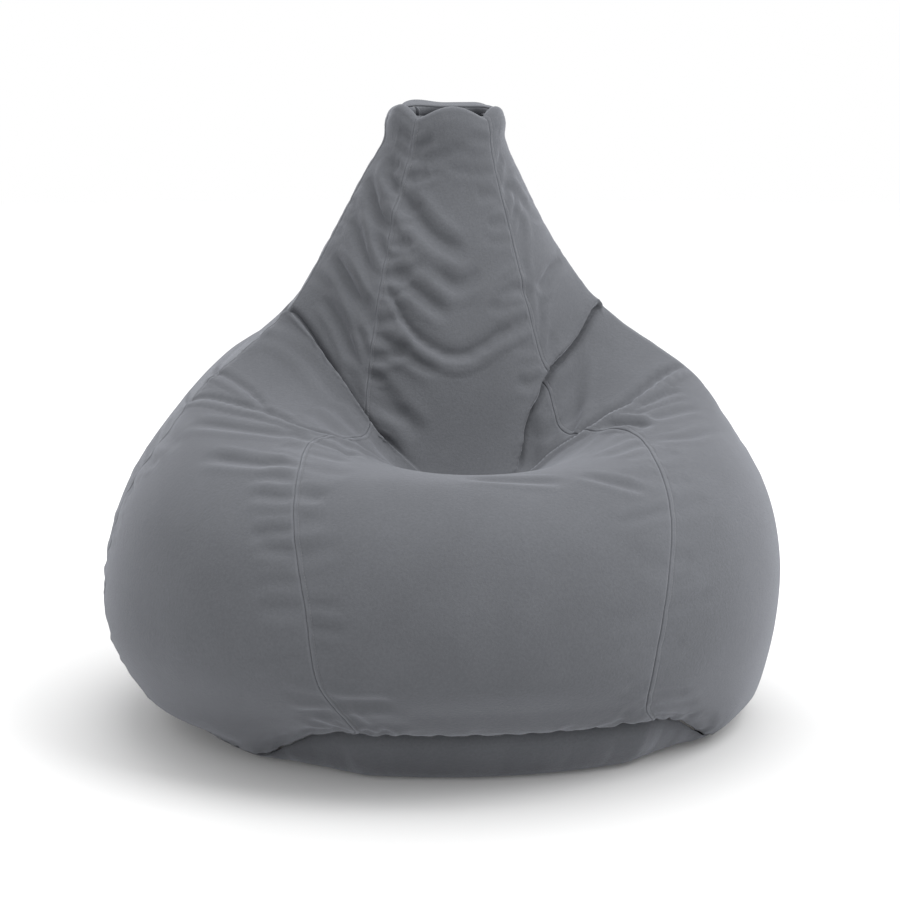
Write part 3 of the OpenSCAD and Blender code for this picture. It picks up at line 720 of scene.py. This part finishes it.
def slot_half(t, half, plain):
    """Half the gap at a seam with a zip: plain, and wider along the zip."""
    first, last = zip_knot(ZIP_ANGLES[0] + 1), zip_knot(ZIP_ANGLES[1])
    return plain + (half - plain) * smooth((t - first + 0.25) / 0.25) * smooth((last + 0.25 - t) / 0.25)


def edge_gap(seam):
    return slot_half(knots, ZIP_SLOT, SEAM_GAP) if seam == ZIP_SEAM else np.full(ROWS, SEAM_GAP)


def resample(first_col, left_gap, right_gap):
    """One panel's points, normals and distances from both seams, with close columns beside the seams."""
    cols = (first_col + np.arange(-1, PANEL_COLS + 2)) % COLS
    strip = cloth[:, cols]
    length = lengths_along(strip[:, 1:-1], axis=1)
    total = length[:, -1:]
    near = left_gap[:, None] + EDGE_STEPS
    far = total - right_gap[:, None] - EDGE_STEPS[::-1]
    f = np.linspace(0, 1, MIDDLE_COLS + 2)[1:-1]
    places = np.concatenate([near, near[:, -1:] + (far[:, :1] - near[:, -1:]) * f, far], axis=1)
    grid, normals = np.empty((2,) + places.shape + (3,))
    for i in range(ROWS):
        index = 1 + np.interp(places[i], length[i], np.arange(PANEL_COLS + 1))
        grid[i], normals[i] = spline(strip[i], index), spline(cloth_normals[i, cols], index)
    return grid, unit(normals), places - left_gap[:, None], total - right_gap[:, None] - places


def seam_profile(d, felled):
    """Height of the cloth beside a seam: a groove, and if felled a raised band up to the stitches."""
    groove = 1.1 - 0.6 * smooth((knots - 9) / 2)[:, None]
    height = -groove * MM * np.exp(-d / (0.8 * MM))
    if felled:
        height += 0.55 * MM * smooth(d / (1.5 * MM)) * (1 - smooth((d - 5.6 * MM) / (1.6 * MM)))
        height -= 0.55 * MM * bell((d - STITCH_OFF) / (0.75 * MM))
    return height


def panel(name, middle):
    """Builds one side panel around its middle angle. Returns the lines of its topstitching."""
    left_seam, right_seam = wrapped(middle - 30), wrapped(middle + 30)
    first_col = int(round((left_seam + 150) / 360 * COLS)) % COLS
    grid, normals, from_left, from_right = resample(first_col, edge_gap(left_seam), edge_gap(right_seam))
    height = seam_profile(from_left, True) + seam_profile(from_right, right_seam == ZIP_SEAM)
    from_base = lengths_along(grid)
    height += -3.0 * MM * np.exp(-from_base / (2.0 * MM))
    grid = grid + normals * height[..., None]
    edge_normals = normals[:, [0, -1]]

    # the top edge rolls over and down behind the cap's seam; the bottom edge turns in at the base seam
    inward = unit((NECK_CENTRE - grid[-1]) * [1, 1, 0])
    roll = np.radians([18, 36, 54, 72, 90, 112, 135, 160])
    top = [grid[-1] + inward * TOP_ROLL * (1 - np.cos(a)) + UP * (TOP_ROLL * np.sin(a)) for a in roll]
    top.append(top[-1] - UP * (8 * MM))
    inward = unit((BASE_CENTRE - grid[0]) * [1, 1, 0])
    bottom = [grid[0] + inward * 5 * MM + UP * (2 * MM)]
    grid = np.concatenate([bottom, grid, top])
    top_normals = np.repeat(edge_normals[-1:], len(top), axis=0) - 0.5 * UP
    edge_normals = np.concatenate([edge_normals[:1], edge_normals, top_normals])
    # the seam allowances are short from the seat to the neck, where a long one would poke through a crease
    turned_in = TURN_IN * (1 - 0.7 * smooth((knots - 6.4) / 0.6) * smooth((13 - knots) / 0.6))
    turned_in = np.concatenate([turned_in[:1], turned_in, np.repeat(turned_in[-1:], len(top))])
    allowances = edge_normals * turned_in[:, None, None]
    grid = np.concatenate([grid[:, :1] - allowances[:, :1], grid, grid[:, -1:] - allowances[:, 1:]], axis=1)
    normals = grid_normals(grid)
    points = np.concatenate([grid, grid - normals * CLOTH_T])
    rows, cols = grid.shape[:2]
    obj = make_object(name, points, sheet_faces(rows, cols), nodes=[name])

    # the cloth is rubbed lighter on the seams' ridges
    rub = np.zeros((rows, cols))
    d = np.minimum(from_left, from_right)
    rub[1:1 + ROWS, 1:-1] = 0.8 * bell((d - 2.2 * MM) / (1.2 * MM)) + 0.25 * np.exp(-d / (12 * MM))
    attribute = obj.data.attributes.new("rub", "FLOAT", "POINT")
    attribute.data.foreach_set("value", np.concatenate([rub, rub]).ravel())

    stitch_col = 1 + int(np.argmin(abs(EDGE_STEPS - STITCH_OFF)))
    stitched_cols = [stitch_col, -1 - stitch_col] if right_seam == ZIP_SEAM else [stitch_col]
    return [(grid[1:1 + ROWS, col], normals[1:1 + ROWS, col]) for col in stitched_cols]


PANELS = {"front_panel": 0, "front_right_panel": 60, "rear_right_panel": 120, "back_panel": 180,
          "rear_left_panel": -120, "front_left_panel": -60}
stitch_lines = []
for panel_name, panel_middle in PANELS.items():
    stitch_lines += panel(panel_name, panel_middle)


# ---- Stitches: one short rounded thread for each, sunk at both ends
STITCH_PITCH = 3.6 * MM
STITCH_LEN = 3.0 * MM
THREAD_R = 0.42 * MM
STITCH_SIDES = 5
# along (share of the length), thickness and lift (shares of THREAD_R) of a stitch's rings
STITCH_RINGS = [(-0.5, 0.1, -0.9), (-0.36, 0.85, -0.1), (0, 1, 0.25), (0.36, 0.85, -0.1), (0.5, 0.1, -0.9)]


def stitches(path, normals):
    """Points and faces of the stitches along one path."""
    length = lengths_along(path)
    places = np.arange(STITCH_PITCH, length[-1] - STITCH_PITCH, STITCH_PITCH)
    index = np.interp(places, length, np.arange(len(path)))
    centre = spline(path, index)
    out = unit(spline(normals, index))
    ahead, back = np.minimum(index + 0.3, len(path) - 1), np.maximum(index - 0.3, 0)
    along = unit(spline(path, ahead) - spline(path, back))
    side = unit(np.cross(along, out))
    turn = np.radians(np.arange(STITCH_SIDES) * 360 / STITCH_SIDES)
    ring = (np.cos(turn)[:, None, None] * side + np.sin(turn)[:, None, None] * out) * THREAD_R
    points = [centre + along * STITCH_LEN * a + out * THREAD_R * lift + ring * r
              for a, r, lift in STITCH_RINGS]
    points = np.stack(points).transpose(2, 0, 1, 3)
    count = len(STITCH_RINGS) * STITCH_SIDES
    one = quads(len(STITCH_RINGS), STITCH_SIDES, closed=True)
    faces = [face for k in range(len(places)) for face in (one + k * count).tolist()]
    for k in range(len(places)):
        faces.append([k * count + s for s in range(STITCH_SIDES - 1, -1, -1)])
        faces.append([(k + 1) * count - STITCH_SIDES + s for s in range(STITCH_SIDES)])
    return points.reshape(-1, 3), faces


def thread_object(name, lines):
    """All stitches of a node, along lines of (path, normals)."""
    points, faces, count = [], [], 0
    for path, normals in lines:
        new_points, new_faces = stitches(path, normals)
        faces += [[v + count for v in face] for face in new_faces]
        points.append(new_points)
        count += len(new_points)
    make_object(name, np.concatenate(points), faces, slot="sewing_thread", nodes=[name])


thread_object("side_seam_thread", stitch_lines)

# ---- Base panel, top cap and their stitching
# share of the base's radius that lies on the floor
BASE_FLAT = 0.835
# the lowest free ring, which the base seam's stitches follow
BASE_STITCH_ROW = 1
base_ring = cloth[0]


def base_grid():
    """Rings of the base panel from the rim inwards: flat in the middle, curled up and gathered outside."""
    shares = np.concatenate([np.linspace(0.02, BASE_FLAT, 14), np.linspace(BASE_FLAT, 1, 16)[1:]])
    curl = np.clip((shares - BASE_FLAT) / (1 - BASE_FLAT), 0, 1)
    lift = 1 - np.sqrt(np.maximum(0, 1 - curl ** 2 * 0.985))
    lift /= lift[-1]
    out = (base_ring - BASE_CENTRE) * [1, 1, 0]
    grid = BASE_CENTRE + out * (shares[:, None, None] * 0.992)
    grid[..., 2] = base_ring[:, 2] * lift[:, None] + 0.4 * MM
    gathers = draw.normal(0, 1, (COLS, 2))[:, 0]
    kernel = np.hanning(15)
    kernel /= kernel.sum()
    waves = np.convolve(np.tile(gathers, 3), kernel, "same")[COLS:2 * COLS]
    waves /= waves.std()
    rim = bell((curl - 0.8) / 0.3)[:, None] * waves * 1.1 * MM
    grid += unit(out)[None] * rim[..., None]
    return grid[::-1]


def polar_object(name, grid, thickness, slot="cover_cloth"):
    """Closed sheet from rings of points, the last ring closing on a middle point."""
    rows, cols = grid.shape[:2]
    inner = grid - ring_normals(grid) * thickness
    sides = [[side.reshape(-1, 3), side[-1].mean(axis=0)[None]] for side in (grid, inner)]
    points = np.concatenate(sides[0] + sides[1])
    n = rows * cols + 1
    faces = quads(rows, cols, closed=True).tolist() + quads(rows, cols, n, closed=True, flip=True).tolist()
    for j in range(cols):
        k = (j + 1) % cols
        last = (rows - 1) * cols
        faces += [[last + j, last + k, n - 1], [n + last + k, n + last + j, 2 * n - 1], [k, j, n + j, n + k]]
    return make_object(name, points, faces, slot=slot, nodes=[name])


base = polar_object("base_panel", base_grid(), CLOTH_T)


def closed_path(ring, normals):
    """A ring of points that ends where it starts, with its normals."""
    return np.concatenate([ring, ring[:1]]), np.concatenate([normals, normals[:1]])


base_stitch_normals = cloth_normals[BASE_STITCH_ROW]
base_stitch_ring = cloth[BASE_STITCH_ROW] + base_stitch_normals * 0.15 * MM
thread_object("base_seam_thread", [closed_path(base_stitch_ring, base_stitch_normals)])

CAP_RIM, CAP_TOP = 0.776, 0.780
CAP_DOME = 2 * MM
# the cap's ring of stitches
CAP_STITCH_ROW = 2
top_ring = cloth[-1]


def cap_grid():
    """Rings of the top cap from the rim inwards, low enough for the tipped strap to pass over them."""
    shares = np.array([0.955, 0.92, 0.88, 0.82, 0.74, 0.64, 0.52, 0.38, 0.24, 0.1])
    flat_ring = top_ring * [1, 1, 0] + UP * CAP_TOP
    centre = NECK_CENTRE + UP * CAP_TOP
    grid = centre + (flat_ring - centre) * shares[:, None, None]
    turn = np.radians(angles)
    gathers = np.sin(19 * turn) + 0.6 * np.sin(31 * turn + 1) + 0.5 * np.sin(13 * turn + 2)
    dome = CAP_DOME * (1 - shares[:, None] ** 2)
    grid[..., 2] = CAP_RIM + dome + 0.7 * MM * gathers * smooth((shares[:, None] - 0.4) / 0.5)
    return grid


cap_rings = cap_grid()
cap = polar_object("top_cap", cap_rings, CLOTH_T)
# the round cap fills 0.72 of its rectangle
cap_stitch_line = cap_rings[CAP_STITCH_ROW] + UP * (0.2 * MM)
thread_object("cap_seam_thread", [closed_path(cap_stitch_line, np.tile(UP, (COLS, 1)))])

# ---- Carry strap and its tabs
STRAP_HALF, STRAP_W, STRAP_T, STRAP_TOP = 64 * MM, 30 * MM, 2.6 * MM, 0.798
STRAP_CORNER = (22 * MM, 9 * MM)
STRAP_SAG, STRAP_SLOPE = 1.5 * MM, 3 * MM
# degrees that the strap's top face turns towards the front
STRAP_ROLL = 14
strap_pivot = NECK_CENTRE + UP * 0.784


def strap():
    """The strap: an arch between its pivots, with rounded corners, narrower towards its ends."""
    half = STRAP_HALF - STRAP_T
    high = STRAP_TOP - STRAP_T / 2 - strap_pivot[2]
    round_x, round_z = STRAP_CORNER
    bend = np.radians(np.linspace(180, 90, 12))
    left = [(-half, h) for h in np.linspace(-0.4 * MM, high - round_z, 4)[:-1]]
    left += [(-half + round_x * (1 + np.cos(a)), high - round_z * (1 - np.sin(a))) for a in bend]
    reach = half - round_x
    middle = [(x, high - STRAP_SAG * np.cos(x / reach * np.pi / 2) ** 2)
              for x in np.linspace(-reach, reach, 40)[1:-1]]
    path = np.array(left + middle + [(-x, h) for x, h in left[::-1]])
    path[:, 1] -= STRAP_SLOPE * smooth(path[:, 1] / high) * smooth((path[:, 0] / half + 1) / 2)
    tangent = unit(np.gradient(path, axis=0))
    out = np.stack([-tangent[:, 1], tangent[:, 0]], -1)
    half_wide = np.minimum(STRAP_W / 2, 0.9 * MM + np.maximum(path[:, 1], 0))
    across = np.concatenate([[-1, -0.985, -0.93], np.linspace(-0.85, 0.85, 21), [0.93, 0.985, 1]])
    edge = np.sqrt(np.maximum(0, 1 - np.clip((abs(across) - 0.9) / 0.1, 0, 1) ** 2))
    dimple = bell((abs(across) - 0.78) / 0.05)
    seam_wave = 0.25 * MM * np.sin(path[:, 0] / (7 * MM))[:, None] * (abs(across) ** 2)[None, :]
    rings = []
    for sign in (1, -1):
        thick = sign * (STRAP_T / 2 * (0.16 + 0.84 * edge) - 0.45 * MM * dimple)[None, :] + seam_wave
        x = path[:, 0:1] + out[:, 0:1] * thick
        z = path[:, 1:2] + out[:, 1:2] * thick
        y = half_wide[:, None] * across[None, :]
        roll = np.radians(STRAP_ROLL) * smooth(path[:, 1:2] / high)
        rings.append(np.stack([x, y * np.cos(roll), z + y * np.sin(roll)], -1) + strap_pivot)
    rows, cols = rings[0].shape[:2]
    obj = make_object("carry_strap", np.concatenate(rings), sheet_faces(rows, cols), body="carry_strap",
                      nodes=["carry_strap"])


strap()

TAB_HALF = (7 * MM, 12 * MM)
TAB_EDGE = 0.3 * MM


def tabs():
    """Two tabs just under the strap's ends, each pressed in along a rectangle of stitches."""
    low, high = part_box("strap_tabs")
    gx, gy = np.meshgrid(np.linspace(-1, 1, 17), np.linspace(-1, 1, 21), indexing="ij")
    puffed = (1 - abs(gx) ** 5) * (1 - abs(gy) ** 6)
    dent = bell((abs(gx) - 0.7) / 0.1) * (abs(gy) < 0.8) + bell((abs(gy) - 0.75) / 0.1) * (abs(gx) < 0.75)
    top = low[2] + TAB_EDGE + (high[2] - low[2] - TAB_EDGE) * puffed - 0.2 * MM * np.clip(dent, 0, 1)
    points, faces = [], []
    for sign in (-1, 1):
        centre = NECK_CENTRE + [sign * (STRAP_HALF - TAB_HALF[0]), 0, 0]
        start = len(points) * gx.size
        for z in (top, np.full_like(gx, low[2])):
            points.append((np.stack([gx * TAB_HALF[0], gy * TAB_HALF[1], z], -1) + centre).reshape(-1, 3))
        faces += [[v + start for v in face] for face in sheet_faces(*gx.shape)]
    make_object("strap_tabs", np.concatenate(points), faces, nodes=["strap_tabs"])


tabs()


# ---- Zips: woven tapes and moulded coils that follow the rear arc
# half the gap between the two tapes
HALF_SPLIT = 0.7 * MM
TAPE_T = 0.8 * MM
TAPE_ANGLES = (ZIP_ANGLES[0] - 3, ZIP_ANGLES[1] + 6)
COIL_ANGLES = (ZIP_ANGLES[0] + 1.8, ZIP_ANGLES[1] - 0.8)
TOOTH_PITCH = 1.5 * MM
TOOTH_R = 0.36 * MM


def on_arc(seam, radius, degrees, across):
    """Point at a radius and angle on the rear arc, in the plane of a seam, moved across it."""
    s, a = np.radians(seam), np.radians(degrees)
    d = np.array([np.sin(s), -np.cos(s), 0])
    axis = np.array([-np.cos(s), -np.sin(s), 0])
    radius, a, across = np.broadcast_arrays(radius, a, across)
    centre = REAR_ARC[0] * d + UP * REAR_ARC[1]
    out, up = radius * np.cos(a), radius * np.sin(a)
    return centre + d * out[..., None] + UP * up[..., None] + axis * across[..., None]


def zip_tape(name, seam, tape_r, width, side, slot):
    """Woven tape on one side of a zip: a groove beside the coil, and a slight ripple at its outer edge."""
    across = np.concatenate([[0, 0.06, 0.12, 0.2, 0.24], np.linspace(0.3, 0.96, 10), [0.985, 1]])
    edge = np.clip(np.minimum(across, 1 - across) / 0.03, 0, 1)
    degrees = np.linspace(*TAPE_ANGLES, 150)[:, None]
    x = side * (HALF_SPLIT + (width - HALF_SPLIT) * across)[None, :]
    groove = 0.12 * MM * bell((across - 0.22) / 0.02)
    ripple = 0.12 * MM * np.sin(degrees * 3.1) * across[None, :] ** 2
    half = TAPE_T / 2 * (0.35 + 0.65 * np.sqrt(edge)) - groove
    middle_r = tape_r + TAPE_T / 2 + ripple
    grids = [on_arc(seam, middle_r + sign * half[None, :], degrees, x) for sign in (1, -1)]
    if side > 0:
        grids = [grid[:, ::-1] for grid in grids]
    rows, cols = grids[0].shape[:2]
    obj = make_object(name, np.concatenate(grids), sheet_faces(rows, cols), slot=slot, nodes=[name])


def zip_coil(name, seam, tape_r, half, height, slot):
    """The turns of a moulded coil, alternating between the two tapes."""
    low = tape_r + TAPE_T + 0.05 * MM
    # a turn's path in shares of the half width and the height
    path = np.array([(0.92, 0.16), (1.0, 0.42), (0.93, 0.78), (0.66, 0.93), (0.34, 0.90), (0.12, 0.66),
                     (0.12, 0.40), (0.36, 0.16), (0.66, 0.14)])
    steps = len(path)
    tangent = unit(np.gradient(path * [half, height], axis=0))
    out = np.stack([-tangent[:, 1], tangent[:, 0]], -1)
    turn = np.radians(np.arange(6) * 60)
    degree_pitch = np.degrees(TOOTH_PITCH / (low + height / 2))
    count = int((COIL_ANGLES[1] - COIL_ANGLES[0]) / degree_pitch)
    one = quads(steps, 6, closed=True)
    caps = [[5, 4, 3, 2, 1, 0], [6 * (steps - 1) + s for s in range(6)]]
    points, faces = [], []
    for side in (-1, 1):
        for k in range(count):
            middle = COIL_ANGLES[0] + (k + (0.25 if side > 0 else 0.75)) * degree_pitch
            swing = np.cos(turn)[None, :] * TOOTH_R
            height_at = low + path[:, 1:2] * height + out[:, 1:2] * swing
            across = HALF_SPLIT * 0.4 + path[:, 0:1] * (half - HALF_SPLIT * 0.4) + out[:, 0:1] * swing
            lean = np.linspace(-0.22, 0.22, steps)[:, None] * degree_pitch
            degrees = middle + lean + np.degrees(np.sin(turn)[None, :] * TOOTH_R / low)
            start = len(points) * steps * 6
            points.append(on_arc(seam, height_at, degrees, side * across).reshape(-1, 3))
            faces += (one + start).tolist() + [[v + start for v in cap_face] for cap_face in caps]
    make_object(name, np.concatenate(points), faces, slot=slot, nodes=[name])


cover_tape_r = REAR_ARC_R - 4.6 * MM
liner_tape_r = REAR_ARC_R - 9.5 * MM
for side_name, side in (("left", 1), ("right", -1)):
    zip_tape("cover_zip_tape_" + side_name, ZIP_SEAM, cover_tape_r, 16 * MM, side, "zip_tape")
    zip_tape("liner_zip_tape_" + side_name, LINER_ZIP_SEAM, liner_tape_r, 12 * MM, side, "liner_tape")
zip_coil("cover_zip_coil", ZIP_SEAM, cover_tape_r, 3.6 * MM, 2.5 * MM, "zip_coil")
zip_coil("liner_zip_coil", LINER_ZIP_SEAM, liner_tape_r, 2.7 * MM, 1.9 * MM, "liner_coil")

METAL_NODES = ("cover_zip_slider", "cover_zip_pull", "cover_zip_stops",
               "liner_zip_slider", "liner_zip_stops")
for node_name in METAL_NODES:
    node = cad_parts[node_name]
    for slot_place in node.material_slots:
        slot_place.material = material("zip_metal")
    edges = node.modifiers.new("soft_edges", "BEVEL")
    edges.width = 0.18 * MM
    edges.segments = 2
    edges.limit_method = "ANGLE"


def care_label():
    """Blank ribbon that hangs inside the cover, beside the tape of its zip."""
    length, width = 60 * MM, 30 * MM
    u = np.linspace(0, 1, 60)
    v = np.linspace(0, 1, 17)
    degrees = 20 + np.degrees((u - 0.5) * length / REAR_ARC_R)[:, None]
    middle_r = REAR_ARC_R - 6.75 * MM
    wave = 0.35 * MM * np.sin(u * 7)[:, None] + 0.2 * MM * np.cos(v * 5)[None, :]
    across = (-48 * MM + width * v)[None, :]
    grids = [on_arc(ZIP_SEAM, middle_r + wave + sign * 0.22 * MM, degrees, across) for sign in (1, -1)]
    obj = make_object("care_label", np.concatenate(grids), sheet_faces(len(u), len(v)), slot="label_ribbon",
                      nodes=["care_label"])


care_label()


# ---- Liner and filling
# depths below the cover's outer face
LINER_DEPTH, FILL_DEPTH = 10 * MM, 12.6 * MM
LINER_T = 0.6 * MM
LINER_TOP_KNOT = 13.4


def inner_surface(depth, first=0.0):
    """Knots and rings of the relaxed cover, smoothed and moved inwards, from the liner's zip seam around."""
    rows = np.arange(0, ROWS, 2)
    rows = rows[(knots[rows] >= first) & (knots[rows] <= LINER_TOP_KNOT)]
    start = int(round((LINER_ZIP_SEAM + 150) / 360 * COLS))
    grid = np.roll(smoothed(cloth, 12), -start, axis=1)[rows][:, ::2]
    outward = smooth(knots[rows] / 0.6)[:, None, None]
    normals = unit(ring_normals(grid) * outward - UP * (1 - outward))
    return knots[rows], grid - normals * depth


def liner_side():
    """The liner's wall, open along its zip. Returns its rings before the opening is cut."""
    ring_at, grid = inner_surface(LINER_DEPTH)
    opening = slot_half(ring_at, 7 * MM, 0.35 * MM)
    closed = np.concatenate([grid, grid[:, :1]], axis=1)
    length = lengths_along(closed, axis=1)
    rows, cols = closed.shape[:2]
    f = np.linspace(0, 1, cols)
    out = np.empty(closed.shape)
    for i in range(rows):
        places = opening[i] + (length[i, -1] - 2 * opening[i]) * f
        out[i] = spline(closed[i], np.interp(places, length[i], np.arange(cols)))
    normals = grid_normals(out)
    points = np.concatenate([out, out - normals * LINER_T])
    obj = make_object("liner_side", points, sheet_faces(rows, cols), slot="liner_cloth",
                      nodes=["liner_side"])
    return grid


neck_ring = liner_side()[-1]


def domed_disc(ring, shares):
    """Rings from an outline inwards, over a low dome."""
    centre = (ring[0] + ring[len(ring) // 2]) / 2
    grid = centre + (ring - centre) * shares[:, None, None]
    grid[..., 2] += (4 * MM * (1 - shares * shares) - 3 * MM)[:, None]
    return grid


def floor_disc(ring, depth, shares):
    """Rings inside an outline on the floor, flat in the middle and curled up to the outline at the rim."""
    curl = np.clip((shares - 0.86) / 0.14, 0, 1)
    grid = ring * [1, 1, 0] * (shares[:, None, None] * 0.985)
    grid[..., 2] = depth + ring[:, 2] * curl[:, None] ** 2
    return grid


base_outline = skin(LINER_ZIP_SEAM + 360 * np.arange(COLS // 2) / (COLS // 2), 0.0)
disc_shares = np.array([1, 0.975, 0.95, 0.92, 0.89, 0.86, 0.75, 0.6, 0.4, 0.2, 0.05])
liner_base_grid = floor_disc(base_outline, LINER_DEPTH, disc_shares)
liner_base = polar_object("liner_base", liner_base_grid, LINER_T, "liner_cloth")
liner_top = polar_object("liner_top", domed_disc(neck_ring, disc_shares * 0.95), LINER_T, "liner_cloth")


def filling():
    """The beads' packed surface, a closed solid just inside the liner."""
    wall = inner_surface(FILL_DEPTH, first=0.55)[1][:-2]
    floor = floor_disc(base_outline, FILL_DEPTH, np.array([0.1, 0.3, 0.5, 0.7, 0.86, 0.9, 0.94, 0.97, 1.0]))
    floor[..., :2] *= 0.985
    middle = wall[-1].mean(axis=0)
    top = [middle + (wall[-1] - middle) * s + UP * (5 * MM * (1 - s * s))
           for s in (0.94, 0.8, 0.6, 0.35, 0.1)]
    rings = np.concatenate([floor, wall, np.array(top)])
    n, cols = rings.shape[:2]
    ends = [rings[k].mean(axis=0)[None] for k in (0, -1)]
    points = np.concatenate([rings.reshape(-1, 3), *ends])
    faces = quads(n, cols, closed=True).tolist()
    for j in range(cols):
        k = (j + 1) % cols
        faces += [[k, j, n * cols], [(n - 1) * cols + j, (n - 1) * cols + k, n * cols + 1]]
    obj = make_object("bead_fill", points, faces, slot="bead_fill", nodes=["bead_fill"])


filling()


# ---- Floor, light and camera
def stage():
    """A round white floor, as bright as the sky behind it, with a painted shadow that darkens it under the
    chair.
    """
    radius, edges = 9.0, 64
    turn = np.radians(np.arange(edges) * 360 / edges)
    points = [(radius * np.cos(a), radius * np.sin(a), 0) for a in turn]
    mesh = bpy.data.meshes.new("backdrop")
    mesh.from_pydata(points, [], [list(range(edges))])
    obj = add_object("backdrop", mesh)
    n = Nodes("look_backdrop")
    # painted shadow: the floor's colour is a little darker under the chair, where the chair's shade falls
    distance_from_painted_shadow = n.add("ShaderNodeVectorMath", {0: n.position, 1: (0.12, -0.35, 0)}, operation="DISTANCE")
    far = n.maths("MULTIPLY", distance_from_painted_shadow.outputs["Value"], 0.25)
    # painted shadow's grey near the chair, fading out to the floor's own white further away
    tone = n.ramp(far, [(0.1, (0.66,) * 3), (0.3, (0.95,) * 3)])
    n.surface({"Base Color": tone, "Roughness": 0.9, "Specular IOR Level": 0.1,
               "Emission Color": (1, 1, 1, 1), "Emission Strength": 0.06})
    mesh.materials.append(n.material)


def area_light(name, place, aim, size, power):
    """Square light that the camera doesn't see."""
    data = bpy.data.lights.new(name, "AREA")
    data.size = size
    data.energy = power
    obj = add_object(name, data)
    obj.location = place
    obj.rotation_euler = (Vector(aim) - Vector(place)).to_track_quat("-Z", "Y").to_euler()
    obj.visible_camera = False


def camera():
    """Front view from a little above, from the sitter's right."""
    azimuth, elevation, distance = np.radians(-8), np.radians(10), 3.0
    aim = np.array([0, 0, 0.38])
    level = np.array([np.sin(azimuth), -np.cos(azimuth), 0])
    toward = level * np.cos(elevation) + UP * np.sin(elevation)
    data = bpy.data.cameras.new("camera")
    data.lens = 91.56
    data.sensor_width = 36
    data.shift_x = 0.010
    data.shift_y = -0.0244
    obj = add_object("camera", data)
    obj.location = (aim + toward * distance).tolist()
    obj.rotation_euler = (np.pi / 2 - elevation, 0, azimuth)
    bpy.context.scene.camera = obj


bpy.context.scene.view_settings.view_transform = "Standard"
stage()
area_light("key", (1.8, -1.4, 2.8), (0, 0, 0.35), 1.8, 68)
area_light("top", (0.0, 0.0, 3.2), (0, 0, 0.2), 2.4, 38)
world = bpy.data.worlds.new("studio")
world.use_nodes = True
sky = world.node_tree.nodes["Background"]
sky.inputs["Color"].default_value = (1, 1, 1, 1)
sky.inputs["Strength"].default_value = 1.0
bpy.context.scene.world = world
camera()
